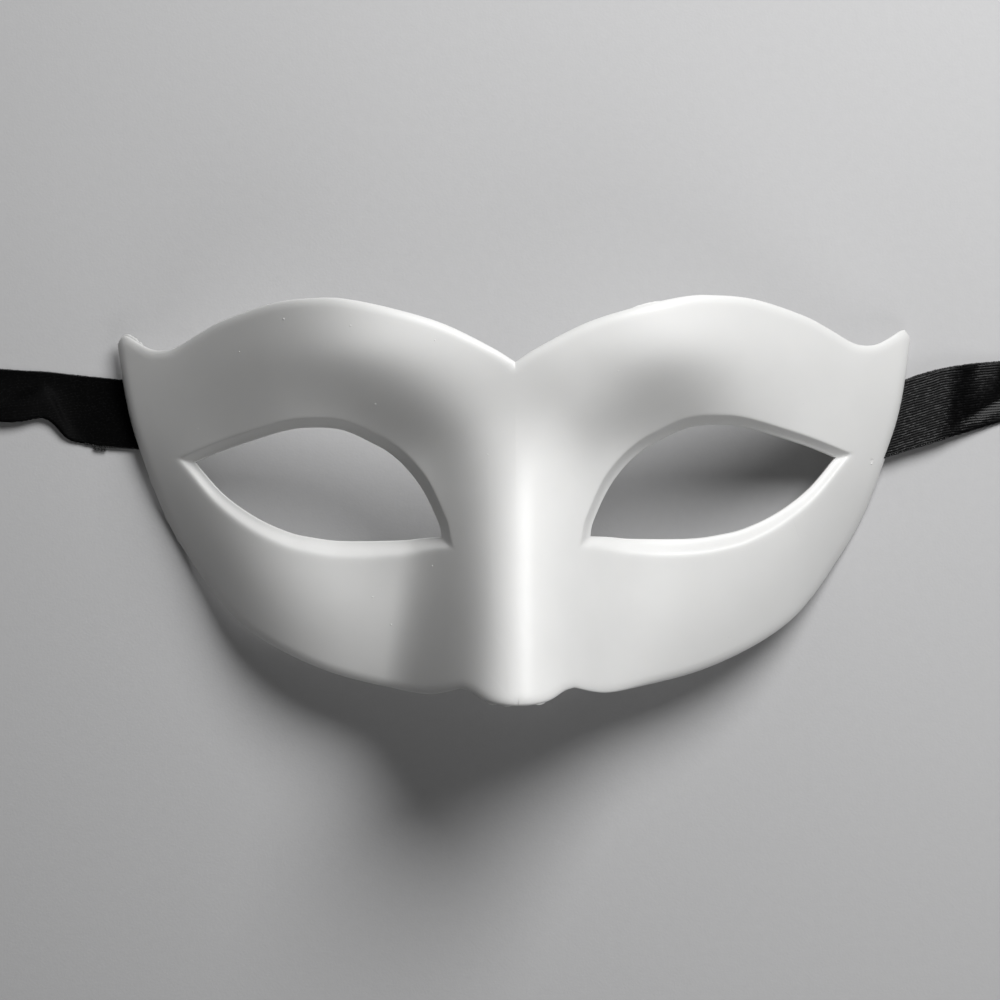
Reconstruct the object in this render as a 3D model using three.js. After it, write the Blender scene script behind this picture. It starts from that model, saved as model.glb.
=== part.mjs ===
// Half mask of one moulded shell with a ribbon behind each side, lying face up on its side edges.
// Millimetres. X runs across the mask, Y from the nose to the brow, Z up out of the surface it lies on.
// The origin is on that surface, under the middle of the mask.

import * as THREE from "three";

// Mask sizes
const maskWidth = 181;
const maskHeight = 88;
const maskDepth = 62;
const wall = 1.4;
const edgeRollWidth = 2.2;
const edgeRollDrop = 1.1;
const upperRimWidth = 2.3;
const lowerRimWidth = 3.3;
const cornerRimWidth = 3.6;
const rimDepth = 2.6;

// Ribbon sizes
const ribbonThickness = 1;
const ribbonReach = 121;
const ribbonSeat = 15;
const seatGap = 0.3;
const bendEase = 0.4;
const padLength = 5;
const padOverhang = 1;
const padThickness = 1.2;

// Mesh fineness
const skinRows = 7;
const rollRows = 2;
const rimRows = 2;
const loopStep = 5.2;
const ribbonStep = 3;
const ribbonAcross = 4;
const slopeProbe = 0.5;
const runFineness = 200;
const loopFineness = 8;

const halfWidth = maskWidth / 2;
const halfHeight = maskHeight / 2;
const seatInner = halfWidth - ribbonSeat;

// Outline of the right half, as shares of the half width and the half height.
// Each run is smooth, and two runs meet in a corner.
const browRun = [
  { x: 0, y: 0.671 },
  { x: 0.055, y: 0.742 },
  { x: 0.168, y: 0.857 },
  { x: 0.282, y: 0.930 },
  { x: 0.398, y: 0.984 },
  { x: 0.471, y: 0.996 },
  { x: 0.578, y: 0.984 },
  { x: 0.705, y: 0.918 },
  { x: 0.771, y: 0.861 },
  { x: 0.836, y: 0.795 },
  { x: 0.870, y: 0.780 },
  { x: 0.904, y: 0.786 },
  { x: 0.938, y: 0.818 },
  { x: 0.971, y: 0.860 },
  { x: 0.986, y: 0.868 },
];
const sideRun = [
  { x: 0.986, y: 0.868 },
  { x: 0.999, y: 0.835 },
  { x: 1.000, y: 0.793 },
  { x: 0.980, y: 0.520 },
  { x: 0.952, y: 0.298 },
  { x: 0.880, y: -0.105 },
  { x: 0.798, y: -0.375 },
  { x: 0.735, y: -0.541 },
  { x: 0.669, y: -0.661 },
  { x: 0.572, y: -0.775 },
  { x: 0.451, y: -0.877 },
  { x: 0.320, y: -0.941 },
  { x: 0.218, y: -0.961 },
  { x: 0.135, y: -0.915 },
];
const noseRun = [
  { x: 0.135, y: -0.915 },
  { x: 0.111, y: -0.925 },
  { x: 0.073, y: -0.965 },
  { x: 0.030, y: -0.982 },
  { x: 0, y: -0.984 },
];

// Eye opening of the right half, in the same shares, from the inner corner to the outer one and back.
const upperLidRun = [
  { x: 0.180, y: -0.184 },
  { x: 0.188, y: -0.110 },
  { x: 0.225, y: 0.050 },
  { x: 0.264, y: 0.159 },
  { x: 0.303, y: 0.234 },
  { x: 0.343, y: 0.284 },
  { x: 0.420, y: 0.355 },
  { x: 0.499, y: 0.368 },
  { x: 0.559, y: 0.355 },
  { x: 0.641, y: 0.311 },
  { x: 0.726, y: 0.259 },
  { x: 0.798, y: 0.205 },
];
const lowerLidRun = [
  { x: 0.798, y: 0.205 },
  { x: 0.728, y: 0.045 },
  { x: 0.646, y: -0.075 },
  { x: 0.564, y: -0.152 },
  { x: 0.504, y: -0.182 },
  { x: 0.425, y: -0.202 },
  { x: 0.286, y: -0.200 },
  { x: 0.226, y: -0.189 },
  { x: 0.180, y: -0.184 },
];

// Where the sunken rim of the eye opening turns from its upper to its lower width, as a share of the half
// height on each side of the line between the corners, and where it starts to widen to its outer corner.
const rimTurn = 0.06;
const rimCornerStart = 0.88;

// Point inside the eye opening that every column of the shell's mesh is seen from.
const eyeCentre = { x: 0.47, y: 0.07 };

// Face of the mask without its nose: one row for each height on the mask, in shares of the half height,
// with how far the face stands up at each column, in shares of the depth.
const faceColumns = [0, 0.20, 0.38, 0.555, 0.71, 0.865, 1.02];
const faceRows = [
  { y: -1.000, z: [0.556, 0.462, 0.328, 0.210, -0.010, -0.350, -0.740] },
  { y: -0.545, z: [0.605, 0.498, 0.408, 0.342, 0.172, -0.150, -0.516] },
  { y: -0.227, z: [0.629, 0.522, 0.425, 0.384, 0.262, 0.014, -0.274] },
  { y: 0.090, z: [0.694, 0.590, 0.490, 0.425, 0.318, 0.140, -0.084] },
  { y: 0.410, z: [0.762, 0.730, 0.635, 0.545, 0.388, 0.206, 0.026] },
  { y: 0.727, z: [0.816, 0.816, 0.778, 0.632, 0.438, 0.240, 0.058] },
  { y: 1.045, z: [0.823, 0.834, 0.804, 0.655, 0.455, 0.246, 0.073] },
];

// Nose: the ridge's height in shares of the depth, and the half width of its foot in shares of the half width.
const noseRows = [
  { y: -1.000, ridge: 1.000, foot: 0.345 },
  { y: -0.545, ridge: 0.906, foot: 0.310 },
  { y: -0.227, ridge: 0.832, foot: 0.280 },
  { y: 0.090, ridge: 0.768, foot: 0.240 },
  { y: 0.410, ridge: 0.761, foot: 0.190 },
  { y: 0.727, ridge: 0.816, foot: 0.150 },
  { y: 1.045, ridge: 0.823, foot: 0.150 },
];

// Power of the share across the nose's flank: above 1 rounds the ridge.
const ridgeRoundness = 1.25;

// Power of the nose's bell: above 1 lets its foot run softly into the cheek.
const footSoftness = 1.3;

// Soft swells of the face: the hollow under the brow and the brow above it.
const swells = [
  { x: 0.310, y: 0.280, wide: 0.170, tall: 0.200, rise: -0.046 },
  { x: 0.355, y: 0.705, wide: 0.222, tall: 0.159, rise: 0.016 },
];

// Edges of each ribbon from its seat on the inner wall out to its free end: x as a share of the half width,
// low and high as shares of the half height. The left one's low edge is turned under towards its free end.
const rightRibbonRows = [
  { x: 0.83, low: 0.140, high: 0.500 },
  { x: 0.94, low: 0.212, high: 0.572 },
  { x: 1.03, low: 0.268, high: 0.638 },
  { x: 1.13, low: 0.327, high: 0.682 },
  { x: 1.23, low: 0.386, high: 0.702 },
  { x: 1.34, low: 0.450, high: 0.712 },
];
const leftRibbonRows = [
  { x: 0.83, low: 0.262, high: 0.598 },
  { x: 0.96, low: 0.282, high: 0.628 },
  { x: 1.06, low: 0.299, high: 0.650 },
  { x: 1.115, low: 0.318, high: 0.662 },
  { x: 1.160, low: 0.364, high: 0.673 },
  { x: 1.185, low: 0.418, high: 0.679 },
  { x: 1.25, low: 0.430, high: 0.690 },
  { x: 1.34, low: 0.440, high: 0.705 },
];

/** Natural cubic spline through (xs, ys); levelStart makes it leave the first point level. */
function spline(xs, ys, levelStart) {
  const last = xs.length - 1;
  const diagonal = new Array(last + 1).fill(1);
  const upper = new Array(last + 1).fill(0);
  const bend = new Array(last + 1).fill(0);
  if (levelStart) {
    const step = xs[1] - xs[0];
    diagonal[0] = 2 * step;
    upper[0] = step;
    bend[0] = (6 * (ys[1] - ys[0])) / step;
  }
  for (let i = 1; i < last; i += 1) {
    const before = xs[i] - xs[i - 1];
    const after = xs[i + 1] - xs[i];
    const pull = before / diagonal[i - 1];
    diagonal[i] = 2 * (before + after) - pull * upper[i - 1];
    upper[i] = after;
    bend[i] = 6 * ((ys[i + 1] - ys[i]) / after - (ys[i] - ys[i - 1]) / before) - pull * bend[i - 1];
  }
  bend[last] = 0;
  for (let i = last - 1; i >= 0; i -= 1) {
    bend[i] = (bend[i] - upper[i] * bend[i + 1]) / diagonal[i];
  }
  return (x) => {
    let i = 0;
    while (i < last - 1 && x > xs[i + 1]) i += 1;
    const step = xs[i + 1] - xs[i];
    const a = (xs[i + 1] - x) / step;
    const b = (x - xs[i]) / step;
    const cubic = (a * a * a - a) * bend[i] + (b * b * b - b) * bend[i + 1];
    return a * ys[i] + b * ys[i + 1] + (cubic * step * step) / 6;
  };
}

const rowYs = faceRows.map((row) => row.y);
const faceProfiles = faceRows.map((row) => spline(faceColumns, row.z, true));
const rowShare = faceRows.map((row) => spline(rowYs, faceRows.map((other) => (other === row ? 1 : 0)), false));
const ridgeAt = spline(rowYs, noseRows.map((row) => row.ridge), false);
const footAt = spline(rowYs, noseRows.map((row) => row.foot), false);

/** Height of the face without its nose, in shares. */
function faceShare(x, y) {
  return faceProfiles.reduce((sum, profile, i) => sum + profile(x) * rowShare[i](y), 0);
}

/** Height in mm of the smooth outer face, before its edges are rolled, above the lowest rim. */
function faceHeight(xMm, yMm) {
  const x = Math.abs(xMm) / halfWidth;
  const y = yMm / halfHeight;
  let share = faceShare(x, y);
  const reach = Math.min(x / footAt(y), 1) ** ridgeRoundness;
  share += (ridgeAt(y) - faceShare(0, y)) * (0.5 + 0.5 * Math.cos(Math.PI * reach)) ** footSoftness;
  for (const swell of swells) {
    const across = (x - swell.x) / swell.wide;
    const along = (y - swell.y) / swell.tall;
    share += swell.rise * Math.exp(-across * across - along * along);
  }
  return share * maskDepth;
}

/** Height in mm of the wall's thickness, measured straight down through the sloping face. */
function wallDrop(x, y) {
  const slopeX = (faceHeight(x + slopeProbe, y) - faceHeight(x - slopeProbe, y)) / (2 * slopeProbe);
  const slopeY = (faceHeight(x, y + slopeProbe) - faceHeight(x, y - slopeProbe)) / (2 * slopeProbe);
  return wall * Math.hypot(1, slopeX, slopeY);
}

/** Smooth run through a table of shares, as points in mm. */
function smoothRun(table, count) {
  const points = table.map((row) => new THREE.Vector2(row.x * halfWidth, row.y * halfHeight));
  return new THREE.SplineCurve(points).getPoints(count);
}

/** Several runs end to end, each without its last point. */
function joinRuns(tables) {
  return tables.flatMap((table) => smoothRun(table, table.length * loopFineness).slice(0, -1));
}

const outline = joinRuns([browRun, sideRun, noseRun]);
outline.push(new THREE.Vector2(0, noseRun[noseRun.length - 1].y * halfHeight));
const eyeLoop = joinRuns([upperLidRun, lowerLidRun]);
const hub = new THREE.Vector2(eyeCentre.x * halfWidth, eyeCentre.y * halfHeight);

/** Where a ray from the hub through the point (x, y) meets a closed loop. */
function meetLoop(loop, target) {
  const dx = target.x - hub.x;
  const dy = target.y - hub.y;
  for (let i = 0; i < loop.length; i += 1) {
    const p = loop[i];
    const q = loop[(i + 1) % loop.length];
    const sideP = dx * (p.y - hub.y) - dy * (p.x - hub.x);
    const sideQ = dx * (q.y - hub.y) - dy * (q.x - hub.x);
    if (sideP * sideQ > 0 || sideP === sideQ) continue;
    const share = sideP / (sideP - sideQ);
    const hit = new THREE.Vector2().lerpVectors(p, q, share);
    if (dx * (hit.x - hub.x) + dy * (hit.y - hub.y) > 0) return hit;
  }
  return hub.clone();
}

/** Distance in mm from a point to the mask's outline. */
function outlineDistance(x, y) {
  let nearest = Infinity;
  for (let i = 0; i + 1 < outline.length; i += 1) {
    const p = outline[i];
    const q = outline[i + 1];
    const run = (q.x - p.x) ** 2 + (q.y - p.y) ** 2;
    const share = ((x - p.x) * (q.x - p.x) + (y - p.y) * (q.y - p.y)) / run;
    const held = Math.min(Math.max(share, 0), 1);
    nearest = Math.min(nearest, Math.hypot(x - p.x - held * (q.x - p.x), y - p.y - held * (q.y - p.y)));
  }
  return nearest;
}

/** How far the outer face has rolled down at a distance from the outline. */
function edgeRoll(distance) {
  const inside = Math.max(0, 1 - distance / edgeRollWidth);
  return edgeRollDrop * inside * inside;
}

/** Points spaced evenly along a run, from its first to just before its last. */
function evenPoints(run, step) {
  const lengths = [0];
  for (let i = 1; i < run.length; i += 1) {
    lengths.push(lengths[i - 1] + run[i].distanceTo(run[i - 1]));
  }
  const total = lengths[lengths.length - 1];
  const count = Math.max(2, Math.round(total / step));
  const points = [];
  let i = 1;
  for (let k = 0; k < count; k += 1) {
    const target = (total * k) / count;
    while (lengths[i] < target) i += 1;
    const share = (target - lengths[i - 1]) / (lengths[i] - lengths[i - 1]);
    points.push(new THREE.Vector2().lerpVectors(run[i - 1], run[i], share));
  }
  return points;
}

/** Outer ends of the mesh columns of the right half: round the outline, then up the middle line. */
function columnEnds() {
  const outerCorner = meetLoop(outline, lidPoint(upperLidRun[upperLidRun.length - 1]));
  const brow = smoothRun(browRun, runFineness);
  const side = smoothRun(sideRun, 2 * runFineness);
  const split = side.findIndex((point) => point.y < outerCorner.y);
  const nose = smoothRun(noseRun, runFineness);
  const innerCorner = lidPoint(upperLidRun[0]);
  const share = hub.x / (hub.x - innerCorner.x);
  const seamY = hub.y + (innerCorner.y - hub.y) * share;
  const foot = new THREE.Vector2(0, nose[nose.length - 1].y);
  const seam = new THREE.Vector2(0, seamY);
  const notch = new THREE.Vector2(0, brow[0].y);
  const edge = [
    ...evenPoints(brow, loopStep),
    ...evenPoints([...side.slice(0, split), outerCorner], loopStep),
    ...evenPoints([outerCorner, ...side.slice(split)], loopStep),
    ...evenPoints(nose, loopStep / 2),
    foot,
  ];
  const middle = [
    ...evenPoints([foot, seam], loopStep).slice(1),
    ...evenPoints([seam, notch], loopStep),
  ];
  return { edge, middle };
}

/** A lid table row as a point in mm. */
function lidPoint(row) {
  return new THREE.Vector2(row.x * halfWidth, row.y * halfHeight);
}

/** Width of the sunken rim at a point of the eye opening: widest at its corners, narrow along the top. */
function rimWidthAt(point) {
  const outer = lidPoint(lowerLidRun[0]);
  const inner = lidPoint(upperLidRun[0]);
  const share = (point.x - inner.x) / (outer.x - inner.x);
  const chord = inner.y + (outer.y - inner.y) * share;
  const lower = THREE.MathUtils.smoothstep(chord - point.y, -rimTurn * halfHeight, rimTurn * halfHeight);
  const width = THREE.MathUtils.lerp(upperRimWidth, lowerRimWidth, lower);
  const corner = THREE.MathUtils.smoothstep(share, rimCornerStart, 1);
  return THREE.MathUtils.lerp(width, cornerRimWidth, corner);
}

/** One column of the shell from the eye opening to its outer end: top and underside heights at each row. */
function shellColumn(end) {
  const lip = meetLoop(eyeLoop, end);
  const away = new THREE.Vector2().subVectors(end, lip);
  const length = away.length();
  const rimWidth = Math.min(rimWidthAt(lip), length / 3);
  const rollWidth = Math.min(edgeRollWidth, length / 3);
  const stops = [];
  for (let i = 0; i < rimRows; i += 1) stops.push((rimWidth * i) / rimRows);
  const skin = length - rimWidth - rollWidth;
  for (let i = 0; i < skinRows; i += 1) stops.push(rimWidth + (skin * i) / skinRows);
  for (let i = 0; i <= rollRows; i += 1) stops.push(length - rollWidth + (rollWidth * i) / rollRows);
  return stops.map((stop) => {
    const point = lip.clone().addScaledVector(away, stop / length);
    const face = faceHeight(point.x, point.y);
    const sunk = rimDepth * Math.max(0, 1 - stop / rimWidth);
    const top = face - sunk - edgeRoll(outlineDistance(point.x, point.y));
    return { x: point.x, y: point.y, top, under: face - sunk - wallDrop(point.x, point.y) };
  });
}

/** Closed triangle mesh that shares its vertices by place. */
class Solid {
  constructor() {
    this.places = [];
    this.triangles = [];
    this.known = new Map();
  }

  vertex(x, y, z) {
    const key = [x, y, z].map((value) => Math.round(value * 1e4)).join(",");
    if (!this.known.has(key)) {
      this.known.set(key, this.places.length / 3);
      this.places.push(x, y, z);
    }
    return this.known.get(key);
  }

  triangle(a, b, c) {
    if (a !== b && b !== c && c !== a) this.triangles.push(a, b, c);
  }

  quad(a, b, c, d) {
    this.triangle(a, b, c);
    this.triangle(a, c, d);
  }

  geometry() {
    const geometry = new THREE.BufferGeometry();
    geometry.setAttribute("position", new THREE.Float32BufferAttribute(this.places, 3));
    geometry.setIndex(this.triangles);
    geometry.computeVertexNormals();
    return geometry;
  }
}

const ends = columnEnds();
const columns = [...ends.edge, ...ends.middle].map(shellColumn);
const lowestUnder = Math.min(...columns.flat().map((cell) => cell.under));

/** The mask's shell: outer face, underside, rolled outline and the rims of both eye openings. */
function shellGeometry() {
  const solid = new Solid();
  const lastRow = columns[0].length - 1;
  for (const side of [1, -1]) {
    const top = columns.map((column) => column.map((c) => solid.vertex(side * c.x, c.y, c.top - lowestUnder)));
    const under = columns.map((column) => column.map((c) => solid.vertex(side * c.x, c.y, c.under - lowestUnder)));
    const face = (a, b, c, d) => (side < 0 ? solid.quad(a, b, c, d) : solid.quad(a, d, c, b));
    for (let j = 0; j < columns.length; j += 1) {
      const k = (j + 1) % columns.length;
      for (let i = 0; i < lastRow; i += 1) {
        face(top[j][i], top[j][i + 1], top[k][i + 1], top[k][i]);
        face(under[k][i], under[k][i + 1], under[j][i + 1], under[j][i]);
      }
      face(top[k][0], under[k][0], under[j][0], top[j][0]);
      if (j < ends.edge.length - 1) {
        face(top[j][lastRow], under[j][lastRow], under[k][lastRow], top[k][lastRow]);
      }
    }
  }
  return solid.geometry();
}

/** Underside of the shell above the resting surface, carried on past the outline. */
function shellUnder(x, y) {
  return faceHeight(x, y) - wallDrop(x, y) - lowestUnder;
}

/** The larger of two heights, rounded where they cross. */
function softMax(a, b, radius) {
  return (a + b + Math.sqrt((a - b) ** 2 + radius * radius)) / 2;
}

/** Underside of a flat layer that lies on the resting surface and climbs the shell's inner wall.
 *  buried is what it and the layers above it take up, measured square to the wall. */
function layerUnder(x, y, buried) {
  const wallFactor = wallDrop(x, y) / wall;
  const seat = shellUnder(x, y) - buried * wallFactor;
  return seat < -ribbonThickness ? 0 : softMax(0, seat - bendEase / 2, bendEase);
}

/** Closed strip between two edge courses, with the underside and top that the two functions give. */
function stripGeometry(side, rows, from, to, overhang, underAt, topAt) {
  const solid = new Solid();
  const xs = rows.map((row) => row.x);
  const low = spline(xs, rows.map((row) => row.low), false);
  const high = spline(xs, rows.map((row) => row.high), false);
  const count = Math.round((to - from) / ribbonStep);
  const stations = [];
  for (let i = 0; i <= count; i += 1) {
    const x = from + ((to - from) * i) / count;
    const lowY = low(x / halfWidth) * halfHeight - overhang;
    const highY = high(x / halfWidth) * halfHeight + overhang;
    const station = { under: [], top: [] };
    for (let k = 0; k <= ribbonAcross; k += 1) {
      const y = lowY + ((highY - lowY) * k) / ribbonAcross;
      station.under.push(solid.vertex(side * x, y, underAt(x, y)));
      station.top.push(solid.vertex(side * x, y, topAt(x, y)));
    }
    stations.push(station);
  }
  const face = (a, b, c, d) => (side > 0 ? solid.quad(a, b, c, d) : solid.quad(a, d, c, b));
  for (let i = 0; i < count; i += 1) {
    const a = stations[i];
    const b = stations[i + 1];
    for (let k = 0; k < ribbonAcross; k += 1) {
      face(a.top[k], b.top[k], b.top[k + 1], a.top[k + 1]);
      face(a.under[k + 1], b.under[k + 1], b.under[k], a.under[k]);
    }
    face(a.under[0], b.under[0], b.top[0], a.top[0]);
    face(a.top[ribbonAcross], b.top[ribbonAcross], b.under[ribbonAcross], a.under[ribbonAcross]);
  }
  for (let k = 0; k < ribbonAcross; k += 1) {
    const first = stations[0];
    const last = stations[count];
    face(first.under[k], first.top[k], first.top[k + 1], first.under[k + 1]);
    face(last.under[k + 1], last.top[k + 1], last.top[k], last.under[k]);
  }
  return solid.geometry();
}

/** One ribbon: from its seat under the side of the shell to its free end. */
function ribbonGeometry(side, rows) {
  const underAt = (x, y) => layerUnder(x, y, seatGap + ribbonThickness);
  const topAt = (x, y) => underAt(x, y) + ribbonThickness * ribbonRise(x, y);
  return stripGeometry(side, rows, seatInner, ribbonReach, 0, underAt, topAt);
}

/** Vertical share of the ribbon's thickness: one where it lies flat, more where it climbs the wall. */
function ribbonRise(x, y) {
  const lifted = Math.min(layerUnder(x, y, seatGap + ribbonThickness) / ribbonThickness, 1);
  return 1 + (wallDrop(x, y) / wall - 1) * Math.max(lifted, 0);
}

/** Pad of glue that holds a ribbon's end to the inner wall. */
function padGeometry(side, rows) {
  const buried = 2 * seatGap + ribbonThickness + padThickness;
  const underAt = (x, y) => shellUnder(x, y) - (buried * wallDrop(x, y)) / wall - bendEase / 2;
  const topAt = (x, y) => underAt(x, y) + (padThickness * wallDrop(x, y)) / wall;
  return stripGeometry(side, rows, seatInner, seatInner + padLength, padOverhang, underAt, topAt);
}

const material = {
  shell: new THREE.MeshStandardMaterial({ color: 0xe9e9e6, roughness: 0.5, metalness: 0 }),
  ribbon: new THREE.MeshStandardMaterial({ color: 0x0b0b0c, roughness: 0.45, metalness: 0 }),
  pad: new THREE.MeshStandardMaterial({ color: 0xd8d4c4, roughness: 0.35, metalness: 0 }),
};

/** A named piece with its look. */
function piece(name, geometry, look) {
  const mesh = new THREE.Mesh(geometry, look);
  mesh.name = name;
  return mesh;
}

const outlineYs = outline.map((point) => point.y);
const middleY = (Math.max(...outlineYs) + Math.min(...outlineYs)) / 2;

const group = new THREE.Group();
group.position.y = -middleY;
group.add(piece("mask_shell", shellGeometry(), material.shell));
group.add(piece("ribbon_right", ribbonGeometry(1, rightRibbonRows), material.ribbon));
group.add(piece("ribbon_left", ribbonGeometry(-1, leftRibbonRows), material.ribbon));
group.add(piece("glue_pad_right", padGeometry(1, rightRibbonRows), material.pad));
group.add(piece("glue_pad_left", padGeometry(-1, leftRibbonRows), material.pad));

export default group;
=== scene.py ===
import logging
import math
from dataclasses import dataclass, field
from enum import Enum

import bmesh
import bpy
import numpy as np
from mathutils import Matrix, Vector


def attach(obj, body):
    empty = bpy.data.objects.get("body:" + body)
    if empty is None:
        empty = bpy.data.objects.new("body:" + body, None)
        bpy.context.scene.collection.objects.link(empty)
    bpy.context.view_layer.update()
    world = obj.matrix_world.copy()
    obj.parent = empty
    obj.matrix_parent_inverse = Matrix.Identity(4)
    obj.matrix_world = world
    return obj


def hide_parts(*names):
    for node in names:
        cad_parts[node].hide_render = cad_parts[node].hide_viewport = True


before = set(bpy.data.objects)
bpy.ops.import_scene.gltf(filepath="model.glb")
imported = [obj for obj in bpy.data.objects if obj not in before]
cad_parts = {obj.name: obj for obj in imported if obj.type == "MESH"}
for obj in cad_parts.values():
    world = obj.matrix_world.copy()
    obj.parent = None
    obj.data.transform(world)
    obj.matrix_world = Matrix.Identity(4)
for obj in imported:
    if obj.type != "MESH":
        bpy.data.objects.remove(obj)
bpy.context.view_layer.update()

# A moulded half mask that lies face up, with a satin ribbon glued behind each side.
# The makers work in millimetres in the mask's own frame, and mesh_from() turns them into the frame's metres.

MM = 0.001
BODY = "root"
LOG = logging.getLogger("half_mask")

Point = tuple[float, float]
Colour = tuple[float, float, float]
Sockets = dict[str, bpy.types.NodeSocket]

# Points that are measured against a line at one time.
BATCH = 2000

# Outline of the right half, as shares of the half width and the half height.
BROW_RUN: tuple[Point, ...] = (
    (0, 0.671), (0.055, 0.742), (0.168, 0.857), (0.282, 0.930), (0.398, 0.984), (0.471, 0.996),
    (0.578, 0.984), (0.705, 0.918), (0.771, 0.861), (0.836, 0.795), (0.870, 0.780), (0.904, 0.786),
    (0.938, 0.818), (0.971, 0.860), (0.986, 0.868),
)
SIDE_RUN: tuple[Point, ...] = (
    (0.986, 0.868), (0.999, 0.835), (1.000, 0.793), (0.980, 0.520), (0.952, 0.298), (0.880, -0.105),
    (0.798, -0.375), (0.735, -0.541), (0.669, -0.661), (0.572, -0.775), (0.451, -0.877), (0.320, -0.941),
    (0.218, -0.961), (0.135, -0.915),
)
NOSE_RUN: tuple[Point, ...] = (
    (0.135, -0.915), (0.111, -0.925), (0.073, -0.965), (0.030, -0.982), (0, -0.984),
)

# Eye opening of the right half, from its inner corner to its outer one and back.
UPPER_LID: tuple[Point, ...] = (
    (0.180, -0.184), (0.188, -0.110), (0.225, 0.050), (0.264, 0.159), (0.303, 0.234), (0.343, 0.284),
    (0.420, 0.355), (0.499, 0.368), (0.559, 0.355), (0.641, 0.311), (0.726, 0.259), (0.798, 0.205),
)
LOWER_LID: tuple[Point, ...] = (
    (0.798, 0.205), (0.728, 0.045), (0.646, -0.075), (0.564, -0.152), (0.504, -0.182), (0.425, -0.202),
    (0.286, -0.200), (0.226, -0.189), (0.180, -0.184),
)

# Width in mm of the sunken rim along each lid, by share of the half width.
UPPER_RIM: tuple[Point, ...] = ((0.18, 1.9), (0.22, 2.15), (0.35, 2.1), (0.50, 1.9), (0.65, 2.0), (0.80, 2.1))
LOWER_RIM: tuple[Point, ...] = ((0.18, 2.1), (0.25, 2.7), (0.35, 3.1), (0.50, 2.9), (0.65, 2.55), (0.80, 2.2))

# Face without its nose: a row for each height, with its rise at each column as shares of the depth.
FACE_COLUMNS: tuple[float, ...] = (0, 0.20, 0.38, 0.555, 0.71, 0.865, 1.02)
FACE_ROWS: tuple[tuple[float, tuple[float, ...]], ...] = (
    (-1.000, (0.556, 0.462, 0.328, 0.210, -0.010, -0.350, -0.740)),
    (-0.545, (0.605, 0.498, 0.408, 0.342, 0.172, -0.150, -0.516)),
    (-0.227, (0.629, 0.522, 0.425, 0.384, 0.262, 0.014, -0.274)),
    (0.090, (0.694, 0.590, 0.490, 0.425, 0.318, 0.140, -0.084)),
    (0.410, (0.762, 0.730, 0.635, 0.545, 0.388, 0.206, 0.026)),
    (0.727, (0.816, 0.816, 0.778, 0.632, 0.438, 0.240, 0.058)),
    (1.045, (0.823, 0.834, 0.804, 0.655, 0.455, 0.246, 0.073)),
)

# Nose: height on the mask, rise of the ridge and half width of its foot.
NOSE_ROWS: tuple[tuple[float, float, float], ...] = (
    (-1.000, 1.000, 0.345), (-0.545, 0.906, 0.310), (-0.227, 0.832, 0.280), (0.090, 0.768, 0.240),
    (0.410, 0.761, 0.190), (0.727, 0.816, 0.150), (1.045, 0.823, 0.150),
)

# Power of the share across the nose's flank: above 1 rounds the ridge.
RIDGE_ROUNDNESS = 1.25

# Power of the nose's bell: above 1 lets its foot run softly into the cheek.
FOOT_SOFTNESS = 1.3

# Soft swells: x, y, how wide, how tall and how high.
SWELLS: tuple[tuple[float, float, float, float, float], ...] = (
    (0.310, 0.280, 0.170, 0.200, -0.046),
    (0.355, 0.705, 0.222, 0.159, 0.016),
)

# Edges of each ribbon from its seat to its free end: x, low edge and high edge.
RIGHT_RIBBON: tuple[tuple[float, float, float], ...] = (
    (0.83, 0.140, 0.500), (0.94, 0.212, 0.572), (1.03, 0.268, 0.638), (1.13, 0.327, 0.682),
    (1.23, 0.386, 0.702), (1.34, 0.450, 0.712),
)
LEFT_RIBBON: tuple[tuple[float, float, float], ...] = (
    (0.83, 0.262, 0.598), (0.96, 0.282, 0.628), (1.045, 0.294, 0.650), (1.100, 0.312, 0.662),
    (1.145, 0.356, 0.673), (1.168, 0.412, 0.679), (1.24, 0.430, 0.690), (1.34, 0.440, 0.705),
)

# How each ribbon lies past the shell's edge: x, height of its low edge and of its high edge, in mm.
RIGHT_LIE: tuple[tuple[float, float, float], ...] = (
    (74, 4.4, 4.4), (87, 4.1, 4.1), (91, 3.9, 3.9), (95, 3.7, 3.7), (99, 3.4, 3.4), (102, 2.7, 2.65),
    (104.5, 2.0, 2.15), (107, 1.35, 2.0), (109.5, 0.85, 1.8), (113, 0.45, 0.9), (117, 0.4, 0.45),
    (123, 0.4, 0.4),
)
LEFT_LIE: tuple[tuple[float, float, float], ...] = (
    (74, 1.5, 1.5), (88, 1.4, 1.4), (95, 0.9, 0.7), (100, 0.7, 0.45), (106, 1.3, 0.4), (113, 2.2, 0.4),
    (123, 2.8, 0.5),
)

# Dried drips of the moulding on the face: x, y and radius in mm.
SPECKS: tuple[tuple[float, float, float], ...] = (
    (-50.0, 39.6, 0.26), (-35.1, 37.5, 0.22), (-17.1, 34.2, 0.20), (-30.2, 21.0, 0.24), (-6.0, 9.8, 0.20),
    (-18.3, -14.3, 0.22), (-27.7, -27.4, 0.24), (-31.8, -21.3, 0.24), (81.1, 7.7, 0.30), (-60.5, 33.0, 0.16),
    (22.0, 27.5, 0.15), (47.5, -31.0, 0.16), (64.0, 21.0, 0.15), (-71.0, 16.5, 0.15),
)

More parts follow.
